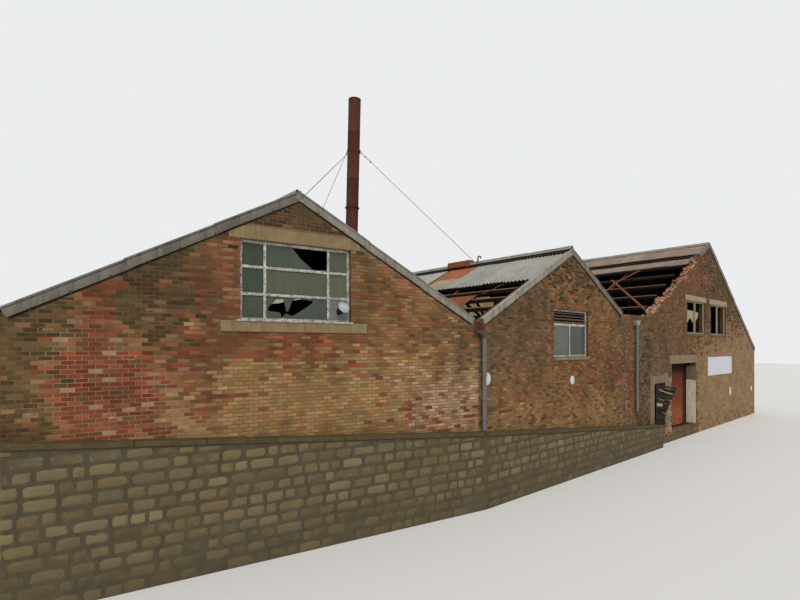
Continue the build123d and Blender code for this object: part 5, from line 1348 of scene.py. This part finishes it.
# The downpipes are cast iron with a socket at each joint, held off the wall by eared clips under
# tapering heads. The first has kept its grey paint, and its head has rusted.
pipe_y = -0.095
pipe_parts, head_parts, rusty_head_parts = [], [], []
for x, foot, top, head_x, joints, clips in ((0.15, 2.06, 4.60, 0.0, (3.95, 2.9), (2.35, 3.55)),
                                            (9.93, 1.75, 5.22, 9.93, (4.2, 2.9), (3.40, 4.90))):
    levels, sizes = [top], [0.060]
    for joint in joints:
        levels += [joint + 0.10, joint + 0.098, joint + 0.012, joint, joint - 0.006]
        sizes += [0.060, 0.074, 0.074, 0.078, 0.060]
    levels += [foot + 0.03, foot + 0.024, foot, foot, foot + 0.16]
    sizes += [0.060, 0.066, 0.066, 0.052, 0.052]
    stations = np.stack([np.full(len(levels), x), np.full(len(levels), pipe_y), levels], -1)
    pipe_parts.append(sweep(ring(1.0, 20), stations, x_way, y_way, sizes))
    for level in clips:
        stations = [(x, pipe_y, level + up) for up in (0, 0.008, 0.052, 0.06)]
        pipe_parts.append(sweep(ring(1.0, 20), stations, x_way, y_way, [0.062, 0.077, 0.077, 0.062]))
        pipe_parts.append(boxes(long_front, [(x - 0.115, x + 0.115, level + 0.004, level + 0.056, 0.001, 0.013),
                                             (x - 0.055, x - 0.035, level + 0.01, level + 0.05, 0.01, 0.07),
                                             (x + 0.035, x + 0.055, level + 0.01, level + 0.05, 0.01, 0.07)]))
        for side in (-0.095, 0.095):
            pipe_parts.append(turned(long_front, (x + side, level + 0.03),
                                     [(0.012, 0.012), (0.020, 0.011), (0.023, 0.005)], 6))
    sections = [(top - 0.02, 0.066, 0.064, x, pipe_y), (top, 0.070, 0.068, x, pipe_y),
                (top + 0.03, 0.085, 0.072, x, -0.092),
                (top + 0.12, 0.165, 0.080, head_x + (x - head_x) * 0.2, -0.088),
                (top + 0.13, 0.176, 0.082, head_x, -0.087),
                (top + 0.168, 0.182, 0.083, head_x, -0.086), (top + 0.172, 0.196, 0.085, head_x, -0.0855),
                (top + 0.179, 0.196, 0.085, head_x, -0.0855), (top + 0.179, 0.186, 0.075, head_x, -0.0855),
                (top + 0.06, 0.11, 0.062, x, -0.09)]
    corners = np.array([(-1, -0.8), (-0.9, -1), (0.9, -1), (1, -0.8), (1, 1), (-1, 1)])
    level, half_x, half_y, centre_x, centre_y = np.array(sections)[:, :, None].transpose(1, 0, 2)
    rings = np.stack([centre_x + half_x * corners[:, 0], centre_y + half_y * corners[:, 1],
                      level + 0 * corners[:, 0]], -1)
    count = len(rings)
    j = np.arange(6)
    sides = np.concatenate([np.stack([i * 6 + j, i * 6 + (j + 1) % 6, (i + 1) * 6 + (j + 1) % 6, (i + 1) * 6 + j], -1)
                            for i in range(count - 1)])
    head = (rings.reshape(-1, 3), sides, np.stack([j[::-1], (count - 1) * 6 + j]))
    (rusty_head_parts if x < 1 else head_parts).append(head)
pipe_paint = weathered("pipe_paint", (104, 107, 106), (88, 92, 90), (112, 84, 66), (126, 128, 124),
                       0.35, (0.6, 0.35, 0.4), 0.6, 0.002)
light_iron = weathered("light_iron", (150, 152, 148), (128, 130, 124), (108, 100, 86), (166, 168, 164),
                       0.3, (0.5, 0.4, 0.4), 0.6, 0.002)
hang("downpipe_lengths", pipe_parts, pipe_paint, ["downpipes"])
old_iron = weathered("old_pipe_iron", (84, 78, 66), (66, 60, 50), (96, 60, 42), (112, 106, 94),
                     0.3, (0.6, 0.6, 0.4), 0.75)
hang("rusty_pipe_head", rusty_head_parts, old_iron, ["downpipes"])
hang("grey_pipe_head", head_parts, light_iron, ["downpipes"])

# On the middle ridge stand a hood of folded steel sheet, with seams over it and closed ends, and
# the swan neck of a thin pipe.
turn = np.radians(np.linspace(0, 180, 13))
arch = np.stack([0.24 * np.cos(turn), 0.08 + 0.05 * np.sin(turn)], -1)
hood_shape = np.concatenate([[(0.0, 0.0), (0.24, -0.128)], arch, [(-0.24, -0.128)]])
saddle = 7.737
hood_y = np.linspace(4.47, 5.51, 9)
hood_at = np.stack([np.full(9, 5.0), hood_y, saddle + rot.normal(0, 0.003, 9)], -1)
hood_parts = [sweep(hood_shape, hood_at, x_way, z_way)]
for y in (4.472, 4.81, 5.14, 5.478):
    seam = hood_shape * np.array([1.03, 1.045])
    hood_parts.append(sweep(seam[1:], [(5.0, y, saddle), (5.0, y + 0.03, saddle)], x_way, z_way))
orange_rust = weathered("orange_rust", (140, 76, 50), (114, 58, 40), (86, 46, 34), (160, 94, 60),
                        0.5, (0.6, 0.4, 0.4), 0.85, 0.004)
hang("ridge_hood", hood_parts, orange_rust, ["ridge_vents"])
bend = np.stack([np.full(13, 5.0), 4.02 + 0.07 * np.cos(turn), saddle + 0.16 + 0.07 * np.sin(turn)], -1)
neck = np.concatenate([[(5.0, 4.09, saddle - 0.02), (5.0, 4.09, saddle + 0.08)], bend, [(5.0, 3.95, saddle + 0.13)]])
ahead = np.gradient(neck, axis=0)
ahead /= np.linalg.norm(ahead, axis=1)[:, None]
neck_parts = [sweep(ring(0.026, 12), neck, x_way, np.cross(ahead, x_way)),
              sweep(ring(1.0, 16), [(5.0, 4.09, saddle + up) for up in (-0.02, 0.01, 0.05)],
                    x_way, y_way, [0.075, 0.07, 0.036])]
hang("swan_neck", neck_parts, black_iron, ["ridge_vents"])

# The stack is rolled steel plate in butted lengths, with a bolted flange, a clamp band for its
# guys and an open top. It leans a little, and rust covers it.
lean_angle, heading = radians(1.3), radians(318.3)
lean = np.array([sin(lean_angle) * cos(heading), sin(lean_angle) * sin(heading), cos(lean_angle)])
lean_across = np.cross(lean, y_way)
lean_across /= np.linalg.norm(lean_across)
lean_up = np.cross(lean, lean_across)


def on_stack(height):
    """A point on the stack's centre line: it runs straight through a known point at its own lean."""
    height = np.asarray(height, float)
    run = (height - 5.5) * tan(lean_angle)
    return np.stack([1.38 + run * cos(heading), 7.82 + run * sin(heading), height], -1)


levels, sizes = [0.53], [0.25]
for seam in (2.1, 3.7, 5.3, 6.9, 8.5, 11.2, 13.1):
    levels += [seam - 0.014, seam - 0.006, seam + 0.006, seam + 0.014]
    sizes += [0.25, 0.2545, 0.2545, 0.25]
levels += [14.42, 14.425, 14.448, 14.45, 14.448, 11.0]
sizes += [0.25, 0.256, 0.256, 0.25, 0.241, 0.241]
flange = [9.99, 9.992, 10.013, 10.017, 10.021, 10.038, 10.04], [0.249, 0.288, 0.290, 0.280, 0.290, 0.288, 0.249]
clamp_band = [12.24, 12.244, 12.396, 12.40], [0.249, 0.262, 0.262, 0.249]
stack_parts = [sweep(ring(1.0, 40), on_stack(heights), lean_across, lean_up, radii)
               for heights, radii in ((levels, sizes), flange, clamp_band)]
for angle in np.arange(0, 360, 30):
    side = lean_across * cos(radians(angle)) + lean_up * sin(radians(angle))
    bolt = on_stack([9.972, 10.058]) + 0.270 * side
    stack_parts.append(sweep(ring(0.012, 6), bolt, lean_across, lean_up))
for angle in (20, 140, 260):
    side = lean_across * cos(radians(angle)) + lean_up * sin(radians(angle))
    along = np.cross(lean, side)
    lug = on_stack([12.245, 12.395]) + 0.268 * side
    for shift in (-0.022, 0.022):
        stack_parts.append(sweep([(-0.014, -0.005), (0.014, -0.005), (0.014, 0.005), (-0.014, 0.005)],
                                 lug + shift * along, side, along))
    bolt = on_stack([12.32]) + 0.268 * side + np.array([[-0.05], [0.05]]) * along
    stack_parts.append(sweep(ring(0.008, 6), bolt, side, lean))
foot = on_stack([0.5, 0.55])
stack_parts.append(sweep([(-0.4, -0.4), (0.4, -0.4), (0.4, 0.4), (-0.4, 0.4)],
                         [(foot[0, 0], foot[0, 1], 0.5), (foot[0, 0], foot[0, 1], 0.55)], x_way, y_way))
stack_rust, place, shader = finish_of("stack_rust")
sheet_wear = place.scaled(3.0, 3.0, 0.5).noise(1.1, 7, 0.68)
scale_flakes = place.noise(11, 8, 0.75)
powder = place.noise(120, 3, 0.7)
high = (place.axis(2) * 0.1).above(1.0, 0.35)
colour = sheet_wear.above(0.5, 0.16).mix(tone(82, 44, 32), tone(64, 38, 30))
colour = (scale_flakes.above(0.56, 0.08) * 0.6).mix(colour, tone(108, 60, 40))
colour = (high * 0.35).mix(colour, tone(74, 48, 42)).tint(powder * 0.4 + 0.8)
coat(shader, colour, scale_flakes * 0.2 + 0.7, (scale_flakes * 0.6 + powder * 0.4).bump(0.003, 0.9))
hang("stack_lengths", stack_parts, stack_rust, ["steel_stack"])

# Three taut wire guys hold the stack. Each starts in a shackle on the band and ends in an eye bolt
# on a plate on the roof. The nearest has a turnbuckle.
guy_parts = []
band = on_stack(12.32)
for x, y, depth, slope, buckle in ((5.17, 4.24, -0.07, "middle_east", True), (-4.65, 2.0, -0.02, "left_east", False),
                                   (-0.83, 10.0, 0.0, "left_east", False)):
    anchor = np.array([x, y, roof_height(slope, x, depth - 0.015)])
    away = np.array([anchor[0] - band[0], anchor[1] - band[1], 0])
    away /= np.linalg.norm(away)
    start = band + away * 0.262
    length = np.linalg.norm(anchor - start)
    run = (anchor - start) / length
    side = np.cross(run, z_way)
    side /= np.linalg.norm(side)
    stand = np.cross(run, side)
    wire = [start + 0.06 * run, (start + anchor) / 2, anchor - 0.05 * run]
    guy_parts.append(sweep(ring(0.009, 8), wire, side, stand))
    turn = np.linspace(0, 2 * np.pi, 13)
    for centre in (start + 0.045 * run, anchor - 0.035 * run):
        loop = centre + 0.045 * np.cos(turn)[:, None] * run + 0.026 * np.sin(turn)[:, None] * stand
        away_from = np.cos(turn)[:, None] * run + np.sin(turn)[:, None] * stand
        guy_parts.append(sweep(ring(0.008, 6), loop, away_from, side))
    if buckle:
        for shift in (-0.022, 0.022):
            rod = [start + 0.30 * run + shift * side, start + 0.62 * run + shift * side]
            guy_parts.append(sweep(ring(0.007, 6), rod, side, stand))
        for place_along in (0.29, 0.60):
            guy_parts.append(sweep(ring(1.0, 10), start + np.array([[place_along], [place_along + 0.04]]) * run, side,
                                   stand, [0.03, 0.03]))
    rise = pitch_of(slope)
    down = np.array([1.0, 0, rise]) / np.hypot(1, rise)
    square = np.array([-rise, 0, 1.0]) / np.hypot(1, rise)
    seat = np.array([x, y, roof_height(slope, x, depth)])
    plate = [(-0.07, -0.06), (-0.06, -0.07), (0.06, -0.07), (0.07, -0.06),
             (0.07, 0.06), (0.06, 0.07), (-0.06, 0.07), (-0.07, 0.06)]
    guy_parts.append(sweep(plate, [seat + 0.002 * square, seat + 0.026 * square], down, y_way))
hang("guy_wires", guy_parts, black_iron, ["stack_guys"])

# Inside, the trusses have gusset plates at their joints. They, the posts, beams and purlins are
# steel, black with soot and painted shade on their sides and below, and rusty with painted light
# on top. They are drawn darker high up near the ridges. The braces and the gutters are bare rusted steel.
soot_and_shade_steel, place, shader = finish_of("soot_and_shade_steel")
# Faces that look up are painted rusty and lit, the rest black: painted light and shade over soot.
painted_top_light = place.node("NewGeometry", output=1).axis(2).above(0.55, 0.2)
crust = place.noise(6, 6, 0.7).above(0.5, 0.15)
fine = place.noise(110, 3, 0.7)
colour = (crust * 0.6).mix(tone(20, 15, 12), tone(34, 22, 17))
colour = (painted_top_light * 0.9).mix(colour, tone(114, 78, 57)).tint(fine * 0.4 + 0.8)
# Darker high up, near the ridges.
darker_near_ridges = place.axis(2).above(7.75, 0.25)
colour = (darker_near_ridges * 0.75).mix(colour, tone(18, 14, 11))
coat(shader, colour, 0.85, (crust * 0.5 + fine * 0.5).bump(0.003, 0.8))
recoat(("valley_posts", "valley_beams", "left_trusses", "middle_trusses", "right_trusses",
        "left_purlins", "middle_purlins", "right_purlins"), soot_and_shade_steel)
recoat(("valley_gutters", "right_roof_braces"), rusty_steel)
dusty_floor = weathered("dusty_floor", (98, 92, 82), (80, 74, 64), (70, 64, 56), (116, 108, 96),
                        1.5, (0.6, 0.3, 0.4), relief=0.008)
recoat(["concrete_floor"], dusty_floor)
gusset_parts = []
for west, east, feet, panels in (("left_west", "left_east", (-9.632, -0.165), 3),
                                 ("middle_west", "middle_east", (0.165, 9.835), 3),
                                 ("right_west", "right_east", (10.165, 27.86), 4)):
    ridge = slopes[west][2]
    for y in (3.2, 6.4, 9.6, 12.8):
        for slope, end in ((west, feet[0]), (east, feet[1])):
            for i in range(1, panels + 1):
                x = end + (ridge - end) * i / panels
                for level, tall in ((roof_height(slope, x, 0.195), 0.11), (4.74, 0.09)):
                    gusset = (x - 0.13, x + 0.13, level - tall, level + tall * 0.6, 0.0, 0.008)
                    gusset_parts += [boxes((face_y * y_way, x_way, outward * y_way), gusset)
                                     for face_y, outward in ((y, -1.0), (y + 0.08, 1.0))]
hang("truss_gussets", gusset_parts, soot_and_shade_steel)

# Over the middle shed's bare purlins lie a fallen sheet of corrugated steel and a bent strip of
# flashing, both rusty.
fallen = np.array([[1.0, 1.95, 1.6, 3.3, 0.0, -0.005]])
rusty_sheet = weathered("rusty_sheet", (130, 78, 54), (104, 62, 46), (82, 52, 40), (152, 100, 70),
                        0.5, (0.6, 0.4, 0.4), 0.85, 0.003)
hang("fallen_sheet", [corrugated("middle_west", fallen)], rusty_sheet, ["loose_sheets"])
strip_share = np.linspace(0, 1, 9)
strip_x, strip_y = 2.70 - 0.66 * strip_share, 1.15 + 0.32 * strip_share
strip_z = roof_height("middle_west", strip_x, 0.043) + 0.004 * np.sin(9 * strip_share)
strip_profile = [(-0.045, -0.004), (0.045, -0.004), (0.045, 0.0), (0.038, 0.006), (-0.045, 0.0)]
strip_parts = [sweep(strip_profile, np.stack([strip_x, strip_y, strip_z], -1), (0.436, 0.9, 0), z_way)]
hang("flashing_strip", strip_parts, rusty_steel, ["loose_sheets"])

# Along its broken slope the right gable shows the raw ends of its courses. Loose red bricks and
# lumps of mortar lie on it as they fell.
scatter = np.random.default_rng(44)
count = 150
x = np.sort(scatter.uniform(11.35, 17.6, count))
y = scatter.uniform(0.04, 0.40, count)
base = np.interp(x, broken_edge[:, 0], broken_edge[:, 1]) + 0.058
size = np.stack([scatter.uniform(least, most, count)
                 for least, most in ((0.05, 0.11), (0.035, 0.052), (0.025, 0.036))], -1)
turn, pitch = scatter.uniform(0, np.pi, count), scatter.normal(0.45, 0.12, count)
a = np.stack([np.cos(turn) * np.cos(pitch), np.sin(turn) * np.cos(pitch) * 0.7, np.sin(pitch)], -1)
a /= np.linalg.norm(a, axis=1)[:, None]
b = np.cross(z_way, a)
b /= np.linalg.norm(b, axis=1)[:, None]
c = np.cross(a, b)
signs = np.array([(-1, -1, -1), (1, -1, -1), (1, 1, -1), (-1, 1, -1), (-1, -1, 1), (1, -1, 1), (1, 1, 1), (-1, 1, 1)])
centre = np.stack([x, y, base + size[:, 2] * 0.8 - 0.075], -1)
corners = centre[:, None] + sum(signs[None, :, i:i + 1] * size[:, None, i:i + 1] * axis[:, None]
                                for i, axis in enumerate((a, b, c)))
corners = corners + scatter.normal(0, 0.004, corners.shape)
fresh = linear([(176, 116, 86), (160, 98, 70), (186, 140, 114), (160, 128, 102), (178, 148, 122)])
loose_tints = point_tints(fresh[scatter.integers(0, len(fresh), count)], 8)
hang("loose_bricks", [hexahedra(corners)], face_brick, tints=loose_tints)
